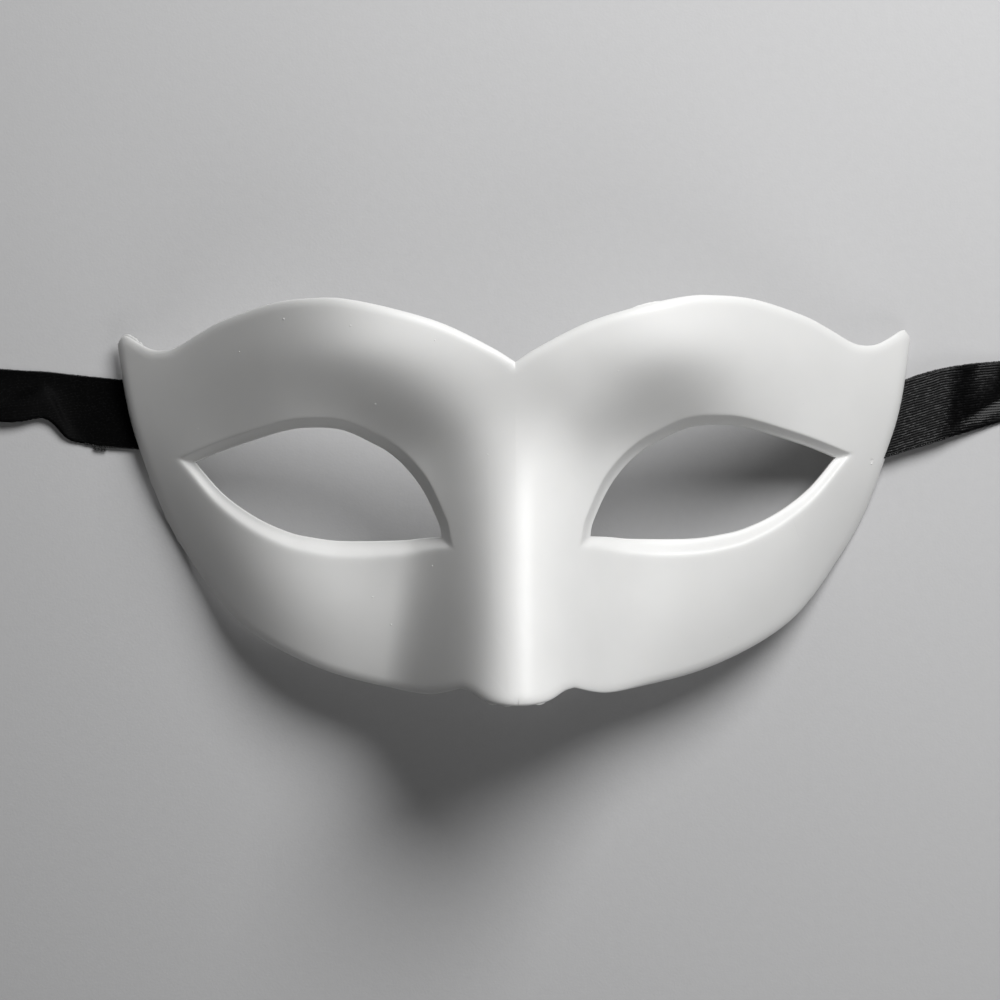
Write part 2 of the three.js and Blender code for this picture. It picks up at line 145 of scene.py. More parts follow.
# Runs of moulding flash on the outline: side, start and end as shares, and height in mm.
FLASH: tuple[tuple[int, Point, Point, float], ...] = (
    (-1, (0.930, 0.806), (0.988, 0.868), 0.62),
    (1, (0.275, 0.925), (0.345, 0.965), 0.34),
    (-1, (0.075, -0.962), (0.048, -0.976), 0.42),
    (-1, (0.038, -0.980), (0.016, -0.983), 0.34),
    (1, (0.040, -0.980), (0.064, -0.970), 0.34),
    (-1, (0.925, 0.140), (0.914, 0.080), 0.20),
    (-1, (0.890, -0.060), (0.878, -0.110), 0.22),
    (-1, (0.862, -0.170), (0.846, -0.225), 0.20),
)


def smooth_step(value: np.ndarray | float, low: float, high: float) -> np.ndarray:
    """Ease from 0 at low to 1 at high."""
    share = np.clip((np.asarray(value, float) - low) / (high - low), 0.0, 1.0)
    return share * share * (3.0 - 2.0 * share)


def soft_max(first: np.ndarray, second: np.ndarray | float, radius: float) -> np.ndarray:
    """Larger of two values, rounded where they cross."""
    return (first + second + np.sqrt((first - second) ** 2 + radius * radius)) / 2.0


class CubicRun:
    """Natural cubic spline through a table column, which may leave its first knot level."""

    def __init__(self, knots: np.ndarray, values: np.ndarray, level_start: bool = False) -> None:
        """Solve the bends at the knots.

        Args:
            knots: Places of the table's rows, rising.
            values: Values at those places.
            level_start: Whether the run starts without slope.
        """
        self.knots = np.asarray(knots, float)
        self.values = np.asarray(values, float)
        count = len(self.knots)
        steps = np.diff(self.knots)
        rises = np.diff(self.values) / steps
        system = np.eye(count)
        right = np.zeros(count)
        if level_start:
            system[0, :2] = 2.0 * steps[0], steps[0]
            right[0] = 6.0 * rises[0]
        for i in range(1, count - 1):
            system[i, i - 1:i + 2] = steps[i - 1], 2.0 * (steps[i - 1] + steps[i]), steps[i]
            right[i] = 6.0 * (rises[i] - rises[i - 1])
        self.bends = np.linalg.solve(system, right)

    def __call__(self, places: np.ndarray) -> np.ndarray:
        """Value of the run at each place.

        Args:
            places: Places along the table.

        Returns:
            One value for each place.
        """
        i = np.searchsorted(self.knots[1:-1], places, side="left")
        step = self.knots[i + 1] - self.knots[i]
        a = (self.knots[i + 1] - places) / step
        b = (places - self.knots[i]) / step
        cubic = (a**3 - a) * self.bends[i] + (b**3 - b) * self.bends[i + 1]
        return a * self.values[i] + b * self.values[i + 1] + cubic * step * step / 6.0


def smooth_run(table: tuple[Point, ...], scale: Point, count: int) -> np.ndarray:
    """Even-knot curve through a table of shares.

    Args:
        table: Points as shares.
        scale: Millimetres that one share is worth in x and in y.
        count: Number of steps along the run.

    Returns:
        count + 1 points in millimetres.
    """
    points = np.array(table, float) * np.array(scale)
    last = len(points) - 1
    place = np.linspace(0.0, last, count + 1)
    i = np.minimum(place.astype(int), last - 1)
    t = (place - i)[:, None]
    before, here = points[np.maximum(i - 1, 0)], points[i]
    after, beyond = points[i + 1], points[np.minimum(i + 2, last)]
    lead, trail = (after - before) * 0.5, (beyond - here) * 0.5
    return (
        (2 * here - 2 * after + lead + trail) * t**3
        + (3 * after - 3 * here - 2 * lead - trail) * t**2
        + lead * t
        + here
    )


def even_points(run: np.ndarray, step: float) -> np.ndarray:
    """Points spaced evenly along a run, without its last point.

    Args:
        run: Points of the run, two columns.
        step: Wanted spacing, in millimetres.

    Returns:
        The points.
    """
    lengths = np.concatenate([[0.0], np.cumsum(np.linalg.norm(np.diff(run, axis=0), axis=1))])
    count = max(2, round(lengths[-1] / step))
    targets = lengths[-1] * np.arange(count) / count
    return np.column_stack([np.interp(targets, lengths, run[:, k]) for k in (0, 1)])


def signed_distance(points: np.ndarray, line: np.ndarray) -> np.ndarray:
    """Distance from points to an open line, positive on the left of its direction.

    Args:
        points: Places to measure, two columns.
        line: Corners of the line, two columns.

    Returns:
        One signed distance for each point.
    """
    start, run = line[:-1], np.diff(line, axis=0)
    squared = (run**2).sum(axis=1)
    result = np.empty(len(points))
    for first in range(0, len(points), BATCH):
        offset = points[first:first + BATCH, None, :] - start[None]
        share = np.clip((offset * run).sum(axis=2) / squared, 0.0, 1.0)
        gap = offset - share[..., None] * run
        length = np.hypot(gap[..., 0], gap[..., 1])
        nearest = length.argmin(axis=1)
        rows = np.arange(len(nearest))
        side = run[nearest, 0] * offset[rows, nearest, 1] - run[nearest, 1] * offset[rows, nearest, 0]
        result[first:first + BATCH] = np.where(side >= 0, 1.0, -1.0) * length[rows, nearest]
    return result


@dataclass
class MaskForm:
    """The mask's shape in millimetres, as heights over its plan. It has no mesh of its own."""

    width: float = 181.0
    height: float = 88.0
    depth: float = 62.0
    wall: float = 1.4
    slope_probe: float = 0.5
    eye_centre: Point = (0.47, 0.07)
    run_fineness: int = 24
    lift: float = 0.0
    half: Point = field(init=False)

    def __post_init__(self) -> None:
        """Prepare the splines and the plan curves."""
        self.half = (self.width / 2.0, self.height / 2.0)
        heights = np.array([row[0] for row in FACE_ROWS])
        self.profiles = [CubicRun(FACE_COLUMNS, row[1], True) for row in FACE_ROWS]
        self.row_shares = [CubicRun(heights, unit) for unit in np.eye(len(FACE_ROWS))]
        nose = np.array(NOSE_ROWS)
        self.ridge = CubicRun(nose[:, 0], nose[:, 1])
        self.foot = CubicRun(nose[:, 0], nose[:, 2])
        self.outline = self.joined((BROW_RUN, SIDE_RUN, NOSE_RUN))
        self.eye_loop = self.joined((UPPER_LID, LOWER_LID))
        self.hub = np.array(self.eye_centre) * np.array(self.half)
        self.middle_y = (self.outline[:, 1].max() + self.outline[:, 1].min()) / 2.0

    def joined(self, tables: tuple[tuple[Point, ...], ...]) -> np.ndarray:
        """Several smooth runs end to end, in millimetres."""
        runs = [smooth_run(table, self.half, len(table) * self.run_fineness) for table in tables]
        return np.vstack([run[:-1] for run in runs] + [runs[-1][-1:]])

    def face_share(self, x: np.ndarray, y: np.ndarray) -> np.ndarray:
        """Height of the face without its nose, in shares."""
        return sum(profile(x) * share(y) for profile, share in zip(self.profiles, self.row_shares))

    def face(self, x_mm: np.ndarray, y_mm: np.ndarray) -> np.ndarray:
        """Height in mm of the smooth outer face above the surface the mask lies on.

        Args:
            x_mm: Places across the mask, in millimetres.
            y_mm: Places up the mask, in millimetres.

        Returns:
            One height for each place, in millimetres.
        """
        x, y = np.abs(x_mm) / self.half[0], y_mm / self.half[1]
        reach = np.minimum(x / self.foot(y), 1.0) ** RIDGE_ROUNDNESS
        bell = (0.5 + 0.5 * np.cos(np.pi * reach)) ** FOOT_SOFTNESS
        nose = (self.ridge(y) - self.face_share(np.zeros_like(y), y)) * bell
        share = self.face_share(x, y) + nose
        for at_x, at_y, wide, tall, rise in SWELLS:
            share = share + rise * np.exp(-(((x - at_x) / wide) ** 2) - ((y - at_y) / tall) ** 2)
        return share * self.depth + self.lift

    def slopes(self, x: np.ndarray, y: np.ndarray) -> tuple[np.ndarray, np.ndarray]:
        """Slopes of the outer face across and up the mask.

        Args:
            x: Places across the mask, in millimetres.
            y: Places up the mask, in millimetres.

        Returns:
            The slope across and the slope up at each place.
        """
        probe = self.slope_probe
        across = (self.face(x + probe, y) - self.face(x - probe, y)) / (2 * probe)
        along = (self.face(x, y + probe) - self.face(x, y - probe)) / (2 * probe)
        return across, along

    def wall_drop(self, x: np.ndarray, y: np.ndarray) -> np.ndarray:
        """Height of the wall's thickness, measured straight down through the sloping face."""
        across, along = self.slopes(x, y)
        return self.wall * np.sqrt(1.0 + across**2 + along**2)

    def under(self, x: np.ndarray, y: np.ndarray) -> np.ndarray:
        """Height of the shell's underside, carried on past the outline."""
        return self.face(x, y) - self.wall_drop(x, y)

    def meet(self, loop: np.ndarray, targets: np.ndarray) -> np.ndarray:
        """Where rays from the eye's middle through the targets cross a loop.

        Args:
            loop: Corners of the loop.
            targets: Points that the rays pass through.

        Returns:
            One crossing for each target.
        """
        rays = targets - self.hub
        start = loop - self.hub
        stop = np.roll(start, -1, axis=0)
        side_start = rays[:, :1] * start[None, :, 1] - rays[:, 1:] * start[None, :, 0]
        side_stop = rays[:, :1] * stop[None, :, 1] - rays[:, 1:] * stop[None, :, 0]
        with np.errstate(divide="ignore", invalid="ignore"):
            share = side_start / (side_start - side_stop)
        hits = start[None] + share[..., None] * (stop - start)[None]
        ahead = (hits * rays[:, None, :]).sum(axis=2) > 0
        crossed = (side_start * side_stop <= 0) & np.isfinite(share) & ahead
        first = crossed.argmax(axis=1)
        return hits[np.arange(len(rays)), first] + self.hub


def in_frame(points: np.ndarray, form: MaskForm) -> list[list[float]]:
    """Points of the mask's own millimetres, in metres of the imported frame."""
    return ((points - np.array([0.0, form.middle_y, 0.0])) * MM).tolist()


def mesh_from(name: str, points: np.ndarray, faces: list[list[int]], form: MaskForm) -> bpy.types.Mesh:
    """Smooth-shaded mesh from points in the mask's millimetres.

    Args:
        name: Name of the mesh.
        points: Vertices in millimetres, three columns.
        faces: Vertex numbers of each face.
        form: The mask's form, which says where its middle lies.

    Returns:
        The mesh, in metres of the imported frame.
    """
    mesh = bpy.data.meshes.new(name)
    mesh.from_pydata(in_frame(points, form), [], faces)
    mesh.validate()
    mesh.shade_smooth()
    return mesh


def show(name: str, mesh: bpy.types.Mesh, material: bpy.types.Material | None) -> bpy.types.Object:
    """Object at the origin that shows a mesh in a material.

    Args:
        name: Name of the object.
        mesh: Its mesh.
        material: Its finish, or None if the mesh has one.

    Returns:
        The object.
    """
    piece = bpy.data.objects.new(name, mesh)
    if material is not None:
        mesh.materials.clear()
        mesh.materials.append(material)
    bpy.context.scene.collection.objects.link(piece)
    return piece


class Recipe:
    """Node tree of one material or shader group, with short ways to add and join nodes."""

    def __init__(self, tree: bpy.types.NodeTree) -> None:
        """Keep the tree that the nodes go into."""
        self.tree = tree

    def add(self, kind: str, **settings: object) -> bpy.types.Node:
        """Add a node and set its properties.

        Args:
            kind: Blender's name for the node.
            settings: Values for its properties.

        Returns:
            The node.
        """
        node = self.tree.nodes.new(kind)
        for key, value in settings.items():
            setattr(node, key, value)
        return node

    def join(self, start: bpy.types.NodeSocket, end: bpy.types.NodeSocket) -> None:
        """Link an output to an input."""
        self.tree.links.new(start, end)

    def math(
        self, operation: str, first: object, second: object = 0.0, clamp: bool = False
    ) -> bpy.types.NodeSocket:
        """Math node on sockets or numbers.

        Args:
            operation: Name of the operation.
            first: Socket or number.
            second: Socket or number.
            clamp: Whether the result stays between 0 and 1.

        Returns:
            The node's output.
        """
        node = self.add("ShaderNodeMath", operation=operation, use_clamp=clamp)
        for socket, value in zip(node.inputs, (first, second)):
            if isinstance(value, (int, float)):
                socket.default_value = value
            else:
                self.join(value, socket)
        return node.outputs[0]

    def ramp(self, value: bpy.types.NodeSocket, source: Point, target: Point) -> bpy.types.NodeSocket:
        """Map a value from one range to another, held at its ends.

        Args:
            value: The value.
            source: Ends of its range.
            target: Ends of the new range.

        Returns:
            The mapped value.
        """
        node = self.add("ShaderNodeMapRange", clamp=True)
        self.join(value, node.inputs["Value"])
        for key, number in zip(("From Min", "From Max", "To Min", "To Max"), (*source, *target)):
            node.inputs[key].default_value = number
        return node.outputs["Result"]

    def tint(self, mask: bpy.types.NodeSocket, low: Colour, high: Colour) -> bpy.types.NodeSocket:
        """Colour between two others by a mask.

        Args:
            mask: 0 for the first colour and 1 for the second.
            low: First colour.
            high: Second colour.

        Returns:
            The colour.
        """
        node = self.add("ShaderNodeMix", data_type="RGBA")
        self.join(mask, node.inputs["Factor"])
        node.inputs[6].default_value = (*low, 1.0)
        node.inputs[7].default_value = (*high, 1.0)
        return node.outputs[2]

    def raise_surface(
        self, shader: bpy.types.Node, height: bpy.types.NodeSocket, distance: float, strength: float = 1.0
    ) -> None:
        """Bump a shader's surface by a height.

        Args:
            shader: The material's shader.
            height: Height, as a share of the distance.
            distance: How far a height of 1 stands out, in metres.
            strength: How much of the bump shows.
        """
        bump = self.add("ShaderNodeBump")
        bump.inputs["Strength"].default_value = strength
        bump.inputs["Distance"].default_value = distance
        self.join(height, bump.inputs["Height"])
        self.join(bump.outputs[0], shader.inputs["Normal"])


def new_group(
    name: str, inputs: dict[str, float], outputs: tuple[str, ...]
) -> tuple[Recipe, Sockets, Sockets]:
    """Start a shader group with number sockets.

    Args:
        name: Name of the group.
        inputs: Each input's name and starting value.
        outputs: Names of the outputs.

    Returns:
        The recipe, the group's inner input sockets by name and its inner output sockets by name.
    """
    tree = bpy.data.node_groups.new(name, "ShaderNodeTree")
    for key, value in inputs.items():
        socket = tree.interface.new_socket(name=key, in_out="INPUT", socket_type="NodeSocketFloat")
        socket.default_value = value
    for key in outputs:
        tree.interface.new_socket(name=key, in_out="OUTPUT", socket_type="NodeSocketFloat")
    recipe = Recipe(tree)
    entry = recipe.add("NodeGroupInput")
    leave = recipe.add("NodeGroupOutput")
    return recipe, {key: entry.outputs[key] for key in inputs}, {key: leave.inputs[key] for key in outputs}


def grain_group() -> bpy.types.NodeTree:
    """Two sizes of soft mottling, for moulded plastic, set glue and the floor.

    Returns:
        Group with the inputs Patches and Pimples, in waves for each metre, and the outputs Mottle and Peel.
    """
    recipe, entry, leave = new_group("soft_grain", {"Patches": 60.0, "Pimples": 900.0}, ("Mottle", "Peel"))
    place = recipe.add("ShaderNodeTexCoord")
    for source, detail, target in (("Patches", 4.0, "Mottle"), ("Pimples", 2.0, "Peel")):
        noise = recipe.add("ShaderNodeTexNoise")
        noise.inputs["Detail"].default_value = detail
        recipe.join(place.outputs["Object"], noise.inputs["Vector"])
        recipe.join(entry[source], noise.inputs["Scale"])
        recipe.join(noise.outputs["Fac"], leave[target])
    return recipe.tree


def float_group() -> bpy.types.NodeTree:
    """Warp floats of a satin ribbon, read from its UV map in metres.

    Returns:
        Group with the inputs Threads and Floats, in counts for each metre across and along, and Share, how
        much of the cloth its floats cover. Its outputs are Thread, the height over a thread, and Dash, the
        floats.
    """
    inputs = {"Threads": 1700.0, "Floats": 800.0, "Share": 0.5}
    wander, stagger, row_gap, sharpness = 0.9, 0.41, 7.3, 9.0
    recipe, entry, leave = new_group("satin_floats", inputs, ("Thread", "Dash"))
    place = recipe.add("ShaderNodeUVMap", uv_map="weave")
    split = recipe.add("ShaderNodeSeparateXYZ")
    recipe.join(place.outputs["UV"], split.inputs[0])
    sway = recipe.add("ShaderNodeTexNoise")
    sway.inputs["Scale"].default_value = 260.0
    recipe.join(place.outputs["UV"], sway.inputs["Vector"])
    bend = recipe.math("MULTIPLY", recipe.math("SUBTRACT", sway.outputs["Fac"], 0.5), wander)
    across = recipe.math("ADD", recipe.math("MULTIPLY", split.outputs["Y"], entry["Threads"]), bend)
    number = recipe.math("FLOOR", across)
    arch = recipe.math("SINE", recipe.math("MULTIPLY", recipe.math("FRACT", across), math.pi))
    along = recipe.math("MULTIPLY", split.outputs["X"], entry["Floats"])
    shifted = recipe.math("ADD", along, recipe.math("MULTIPLY", number, stagger))
    place_on = recipe.add("ShaderNodeCombineXYZ")
    recipe.join(shifted, place_on.inputs["X"])
    recipe.join(recipe.math("MULTIPLY", number, row_gap), place_on.inputs["Y"])
    streak = recipe.add("ShaderNodeTexNoise")
    streak.inputs["Scale"].default_value = 1.0
    streak.inputs["Detail"].default_value = 1.0
    recipe.join(place_on.outputs[0], streak.inputs["Vector"])
    edge = recipe.math("SUBTRACT", 1.0, entry["Share"])
    past = recipe.math("SUBTRACT", streak.outputs["Fac"], edge)
    rise = recipe.math("MULTIPLY", past, sharpness, clamp=True)
    crown = recipe.math("MULTIPLY", recipe.math("POWER", arch, 2.0), rise)
    recipe.join(arch, leave["Thread"])
    recipe.join(crown, leave["Dash"])
    return recipe.tree


def start_material(name: str) -> tuple[Recipe, bpy.types.Node]:
    """New material with its shader.

    Args:
        name: Name of the material.

    Returns:
        The recipe and its Principled BSDF.
    """
    material = bpy.data.materials.new(name)
    material.use_nodes = True
    recipe = Recipe(material.node_tree)
    return recipe, material.node_tree.nodes["Principled BSDF"]


def place_group(recipe: Recipe, tree: bpy.types.NodeTree, **values: float) -> bpy.types.Node:
    """Put a shader group in a material with its own values.

    Args:
        recipe: The material's recipe.
        tree: The group.
        values: Values for its named inputs.

    Returns:
        The group's node.
    """
    node = recipe.add("ShaderNodeGroup", node_tree=tree)
    for key, value in values.items():
        node.inputs[key].default_value = value
    return node


def growth_group(name: str, inputs: dict[str, tuple[str, object]]) -> tuple[Recipe, Sockets, Sockets]:
    """Start a Geometry Nodes group that takes a line or points and gives a mesh in one material.

    Args:
        name: Name of the group.
        inputs: Each named input's kind of socket and starting value.

    Returns:
        The recipe, the inner input sockets by name, and the inner output socket by name.
    """
    tree = bpy.data.node_groups.new(name, "GeometryNodeTree")
    tree.interface.new_socket(name="Geometry", in_out="INPUT", socket_type="NodeSocketGeometry")
    tree.interface.new_socket(name="Geometry", in_out="OUTPUT", socket_type="NodeSocketGeometry")
    for key, (kind, value) in inputs.items():
        socket = tree.interface.new_socket(name=key, in_out="INPUT", socket_type=f"NodeSocket{kind}")
        if value is not None:
            socket.default_value = value
    recipe = Recipe(tree)
    entry = recipe.add("NodeGroupInput")
    leave = recipe.add("NodeGroupOutput")
    named = {socket.name: socket for socket in entry.outputs if socket.name}
    return recipe, named, {"Geometry": leave.inputs[0]}


def finish_growth(
    recipe: Recipe, made: bpy.types.NodeSocket, entry: Sockets, leave: Sockets
) -> bpy.types.NodeTree:
    """Realize what was made, shade it smooth and put it in the group's material.

    Args:
        recipe: The group's recipe.
        made: The geometry so far.
        entry: The group's inner input sockets by name.
        leave: The group's inner output socket by name.

    Returns:
        The finished group.
    """
    real = recipe.add("GeometryNodeRealizeInstances")
    recipe.join(made, real.inputs[0])
    smooth = recipe.add("GeometryNodeSetShadeSmooth")
    recipe.join(real.outputs[0], smooth.inputs["Geometry"])
    paint = recipe.add("GeometryNodeSetMaterial")
    recipe.join(smooth.outputs[0], paint.inputs["Geometry"])
    recipe.join(entry["Material"], paint.inputs["Material"])
    recipe.join(paint.outputs[0], leave["Geometry"])
    return recipe.tree


def random_number(recipe: Recipe, low: float, high: float, seed: object) -> bpy.types.NodeSocket:
    """Number that differs for each point.

    Args:
        recipe: The group's recipe.
        low: Smallest number.
        high: Largest number.
        seed: Fixed seed, as a number or a socket.

    Returns:
        The number.
    """
    node = recipe.add("FunctionNodeRandomValue", data_type="FLOAT")
    node.inputs[2].default_value = low
    node.inputs[3].default_value = high
    if isinstance(seed, int):
        node.inputs["Seed"].default_value = seed
    else:
        recipe.join(seed, node.inputs["Seed"])
    return node.outputs[1]


def even_line(recipe: Recipe, entry: Sockets, mode: str, measure: str, key: str) -> bpy.types.NodeSocket:
    """Curve along the lines that a group gets, with points at even steps.

    Args:
        recipe: The group's recipe.
        entry: The group's inner input sockets by name.
        mode: Whether the steps go by LENGTH or by COUNT.
        measure: Name of the input that takes the step.
        key: Name of the group's input that gives the step.

    Returns:
        The resampled curve.
    """
    line = recipe.add("GeometryNodeMeshToCurve")
    recipe.join(entry["Geometry"], line.inputs["Mesh"])
    even = recipe.add("GeometryNodeResampleCurve", mode=mode)
    recipe.join(line.outputs[0], even.inputs["Curve"])
    recipe.join(entry[key], even.inputs[measure])
    return even.outputs[0]


def stitch_group() -> bpy.types.NodeTree:
    """Beads of thread set close along a line, as a woven selvage has them.

    Returns:
        Group with the inputs Spacing, Size, Seed and Material.
    """
    inputs = {
        "Spacing": ("Float", 0.0006), "Size": ("Float", 0.00026), "Seed": ("Int", 3),
        "Material": ("Material", None),
    }
    recipe, entry, leave = growth_group("selvage_stitches", inputs)
    even = even_line(recipe, entry, "LENGTH", "Length", "Spacing")
    bead = recipe.add("GeometryNodeMeshIcoSphere")
    bead.inputs["Subdivisions"].default_value = 2
    recipe.join(entry["Size"], bead.inputs["Radius"])
    shape = recipe.add("GeometryNodeTransform")
    shape.inputs["Scale"].default_value = (1.25, 0.9, 0.8)
    recipe.join(bead.outputs["Mesh"], shape.inputs["Geometry"])
    along = recipe.add("GeometryNodeInputTangent")
    turn = recipe.add("FunctionNodeAlignRotationToVector", axis="X")
    recipe.join(along.outputs[0], turn.inputs["Vector"])
    place = recipe.add("GeometryNodeInstanceOnPoints")
    recipe.join(even, place.inputs["Points"])
    recipe.join(shape.outputs[0], place.inputs["Instance"])
    recipe.join(turn.outputs[0], place.inputs["Rotation"])
    recipe.join(random_number(recipe, 0.78, 1.15, entry["Seed"]), place.inputs["Scale"])
    return finish_growth(recipe, place.outputs[0], entry, leave)


def hair_group() -> bpy.types.NodeTree:
    """Loose ends of thread that stick out of a cut edge.

    Returns:
        Group with the inputs Count, Length, Radius, Outwards, Seed and Material.
    """
    inputs = {
        "Count": ("Int", 24), "Length": ("Float", 0.0012), "Radius": ("Float", 0.00005),
        "Outwards": ("Vector", (1.0, 0.0, 0.0)), "Seed": ("Int", 5), "Material": ("Material", None),
    }
    recipe, entry, leave = growth_group("frayed_ends", inputs)
    even = even_line(recipe, entry, "COUNT", "Count", "Count")
    hair = recipe.add("GeometryNodeCurvePrimitiveBezierSegment", mode="POSITION")
    hair.inputs["Resolution"].default_value = 6
    hair.inputs["Start"].default_value = (-0.4, 0.0, 0.0)
    hair.inputs["Start Handle"].default_value = (0.2, 0.0, 0.0)
    hair.inputs["End Handle"].default_value = (0.6, 0.12, 0.0)
    hair.inputs["End"].default_value = (1.0, 0.34, -0.05)
    size = recipe.add("GeometryNodeTransform")
    recipe.join(hair.outputs[0], size.inputs["Geometry"])
    grow = recipe.add("ShaderNodeCombineXYZ")
    for socket in grow.inputs:
        recipe.join(entry["Length"], socket)
    recipe.join(grow.outputs[0], size.inputs["Scale"])
    round_wire = recipe.add("GeometryNodeCurvePrimitiveCircle")
    round_wire.inputs["Resolution"].default_value = 5
    recipe.join(entry["Radius"], round_wire.inputs["Radius"])
    wire = recipe.add("GeometryNodeCurveToMesh")
    recipe.join(size.outputs[0], wire.inputs["Curve"])
    recipe.join(round_wire.outputs["Curve"], wire.inputs["Profile Curve"])
    wire.inputs["Fill Caps"].default_value = True
    turn = recipe.add("FunctionNodeAlignRotationToVector", axis="X")
    recipe.join(entry["Outwards"], turn.inputs["Vector"])
    spread = recipe.add("ShaderNodeCombineXYZ")
    for offset, (axis, most) in enumerate((("X", 3.1), ("Y", 0.12), ("Z", 0.5))):
        seed = recipe.math("ADD", entry["Seed"], float(offset))
        recipe.join(random_number(recipe, -most, most, seed), spread.inputs[axis])
    rotate = recipe.add("FunctionNodeRotateRotation", rotation_space="LOCAL")
    recipe.join(turn.outputs[0], rotate.inputs[0])
    recipe.join(spread.outputs[0], rotate.inputs[1])
    place = recipe.add("GeometryNodeInstanceOnPoints")
    recipe.join(even, place.inputs["Points"])
    recipe.join(wire.outputs[0], place.inputs["Instance"])
    recipe.join(rotate.outputs[0], place.inputs["Rotation"])
    seed = recipe.math("ADD", entry["Seed"], 3.0)
    recipe.join(random_number(recipe, 0.35, 1.0, seed), place.inputs["Scale"])
    return finish_growth(recipe, place.outputs[0], entry, leave)


def fin_group() -> bpy.types.NodeTree:
    """Ragged thin fin along a line, highest in its middle, as flash leaves at a parting line.

    Returns:
        Group with the inputs Count, Height, Waver and Material.
    """
    inputs = {
        "Count": ("Int", 36), "Height": ("Float", 0.0004), "Waver": ("Float", 0.0002),
        "Material": ("Material", None),
    }
    recipe, entry, leave = growth_group("moulding_flash", inputs)
    even = even_line(recipe, entry, "COUNT", "Count", "Count")
    ripple = recipe.add("ShaderNodeTexNoise")
    ripple.inputs["Scale"].default_value = 900.0
    centred = recipe.add("ShaderNodeVectorMath", operation="SUBTRACT")
    recipe.join(ripple.outputs["Color"], centred.inputs[0])
    centred.inputs[1].default_value = (0.5, 0.5, 0.5)
    offset = recipe.add("ShaderNodeVectorMath", operation="SCALE")
    recipe.join(centred.outputs[0], offset.inputs[0])
    recipe.join(entry["Waver"], offset.inputs["Scale"])
    move = recipe.add("GeometryNodeSetPosition")
    recipe.join(even, move.inputs["Geometry"])
    recipe.join(offset.outputs[0], move.inputs["Offset"])
    along = recipe.add("GeometryNodeSplineParameter")
    hump = recipe.math("SINE", recipe.math("MULTIPLY", along.outputs["Factor"], math.pi))
    ragged = recipe.math("ADD", recipe.math("MULTIPLY", ripple.outputs["Fac"], 1.3), 0.2)
    tall = recipe.math("MULTIPLY", recipe.math("POWER", hump, 0.7), ragged)
    blade = recipe.add("GeometryNodeCurvePrimitiveCircle")
    blade.inputs["Resolution"].default_value = 8
    blade.inputs["Radius"].default_value = 1.0
    flat = recipe.add("GeometryNodeTransform")
    flat.inputs["Scale"].default_value = (1.0, 0.4, 1.0)
    recipe.join(blade.outputs["Curve"], flat.inputs["Geometry"])
    sweep = recipe.add("GeometryNodeCurveToMesh")
    recipe.join(move.outputs[0], sweep.inputs["Curve"])
    full = recipe.math("MULTIPLY", tall, entry["Height"])
    recipe.join(recipe.math("MAXIMUM", full, 0.00002), sweep.inputs["Scale"])
    recipe.join(flat.outputs[0], sweep.inputs["Profile Curve"])
    sweep.inputs["Fill Caps"].default_value = True
    return finish_growth(recipe, sweep.outputs[0], entry, leave)


def speck_group() -> bpy.types.NodeTree:
    """Low round drips on the points of a mesh, each as large as its point asks.

    Returns:
        Group with the inputs Size, Seed and Material.
    """
    inputs = {"Size": ("Float", 1.0), "Seed": ("Int", 7), "Material": ("Material", None)}
    recipe, entry, leave = growth_group("face_specks", inputs)
    drop = recipe.add("GeometryNodeMeshIcoSphere")
    drop.inputs["Subdivisions"].default_value = 3
    recipe.join(entry["Size"], drop.inputs["Radius"])
    shape = recipe.add("GeometryNodeTransform")
    shape.inputs["Scale"].default_value = (1.0, 0.8, 0.6)
    recipe.join(drop.outputs["Mesh"], shape.inputs["Geometry"])
    wanted = recipe.add("GeometryNodeInputNamedAttribute", data_type="FLOAT")
    wanted.inputs["Name"].default_value = "drip_radius"
    turn = recipe.add("ShaderNodeCombineXYZ")
    recipe.join(random_number(recipe, 0.0, 6.28, entry["Seed"]), turn.inputs["Z"])
    place = recipe.add("GeometryNodeInstanceOnPoints")
    recipe.join(entry["Geometry"], place.inputs["Points"])
    recipe.join(shape.outputs[0], place.inputs["Instance"])
    recipe.join(turn.outputs[0], place.inputs["Rotation"])
    recipe.join(wanted.outputs[0], place.inputs["Scale"])
    return finish_growth(recipe, place.outputs[0], entry, leave)


def line_mesh(name: str, lines: list[np.ndarray], form: MaskForm) -> bpy.types.Mesh:
    """Mesh of open lines, or of loose points where a line has one point, from millimetres.

    Args:
        name: Name of the mesh.
        lines: Points of each line in millimetres, three columns.
        form: The mask's form, which says where its middle lies.

    Returns:
        The mesh, without faces.
    """
    points = np.vstack(lines)
    edges, first = [], 0
    for line in lines:
        edges += [(first + k, first + k + 1) for k in range(len(line) - 1)]
        first += len(line)
    mesh = bpy.data.meshes.new(name)
    mesh.from_pydata(in_frame(points, form), edges, [])
    return mesh


def grow(
    name: str, mesh: bpy.types.Mesh, tree: bpy.types.NodeTree, material: bpy.types.Material, **values: object
) -> bpy.types.Object:
    """Run a Geometry Nodes group on a mesh and keep its result as a plain mesh.

    Args:
        name: Name of the new piece.
        mesh: Lines or points that the group starts from.
        tree: The group.
        material: Finish of the result.
        values: Values for the group's named inputs.

    Returns:
        The piece, without a modifier.
    """
    piece = show(name, mesh, None)
    modifier = piece.modifiers.new("growth", "NODES")
    modifier.node_group = tree
    sockets = [item for item in tree.interface.items_tree if item.item_type == "SOCKET"]
    keys = {item.name: item.identifier for item in sockets if item.in_out == "INPUT"}
    for key, value in {**values, "Material": material}.items():
        modifier[keys[key]] = value
    bpy.context.view_layer.update()
    graph = bpy.context.evaluated_depsgraph_get()
    grown = bpy.data.meshes.new_from_object(piece.evaluated_get(graph), depsgraph=graph)
    piece.modifiers.clear()
    piece.data = grown
    grown.name = name
    return piece


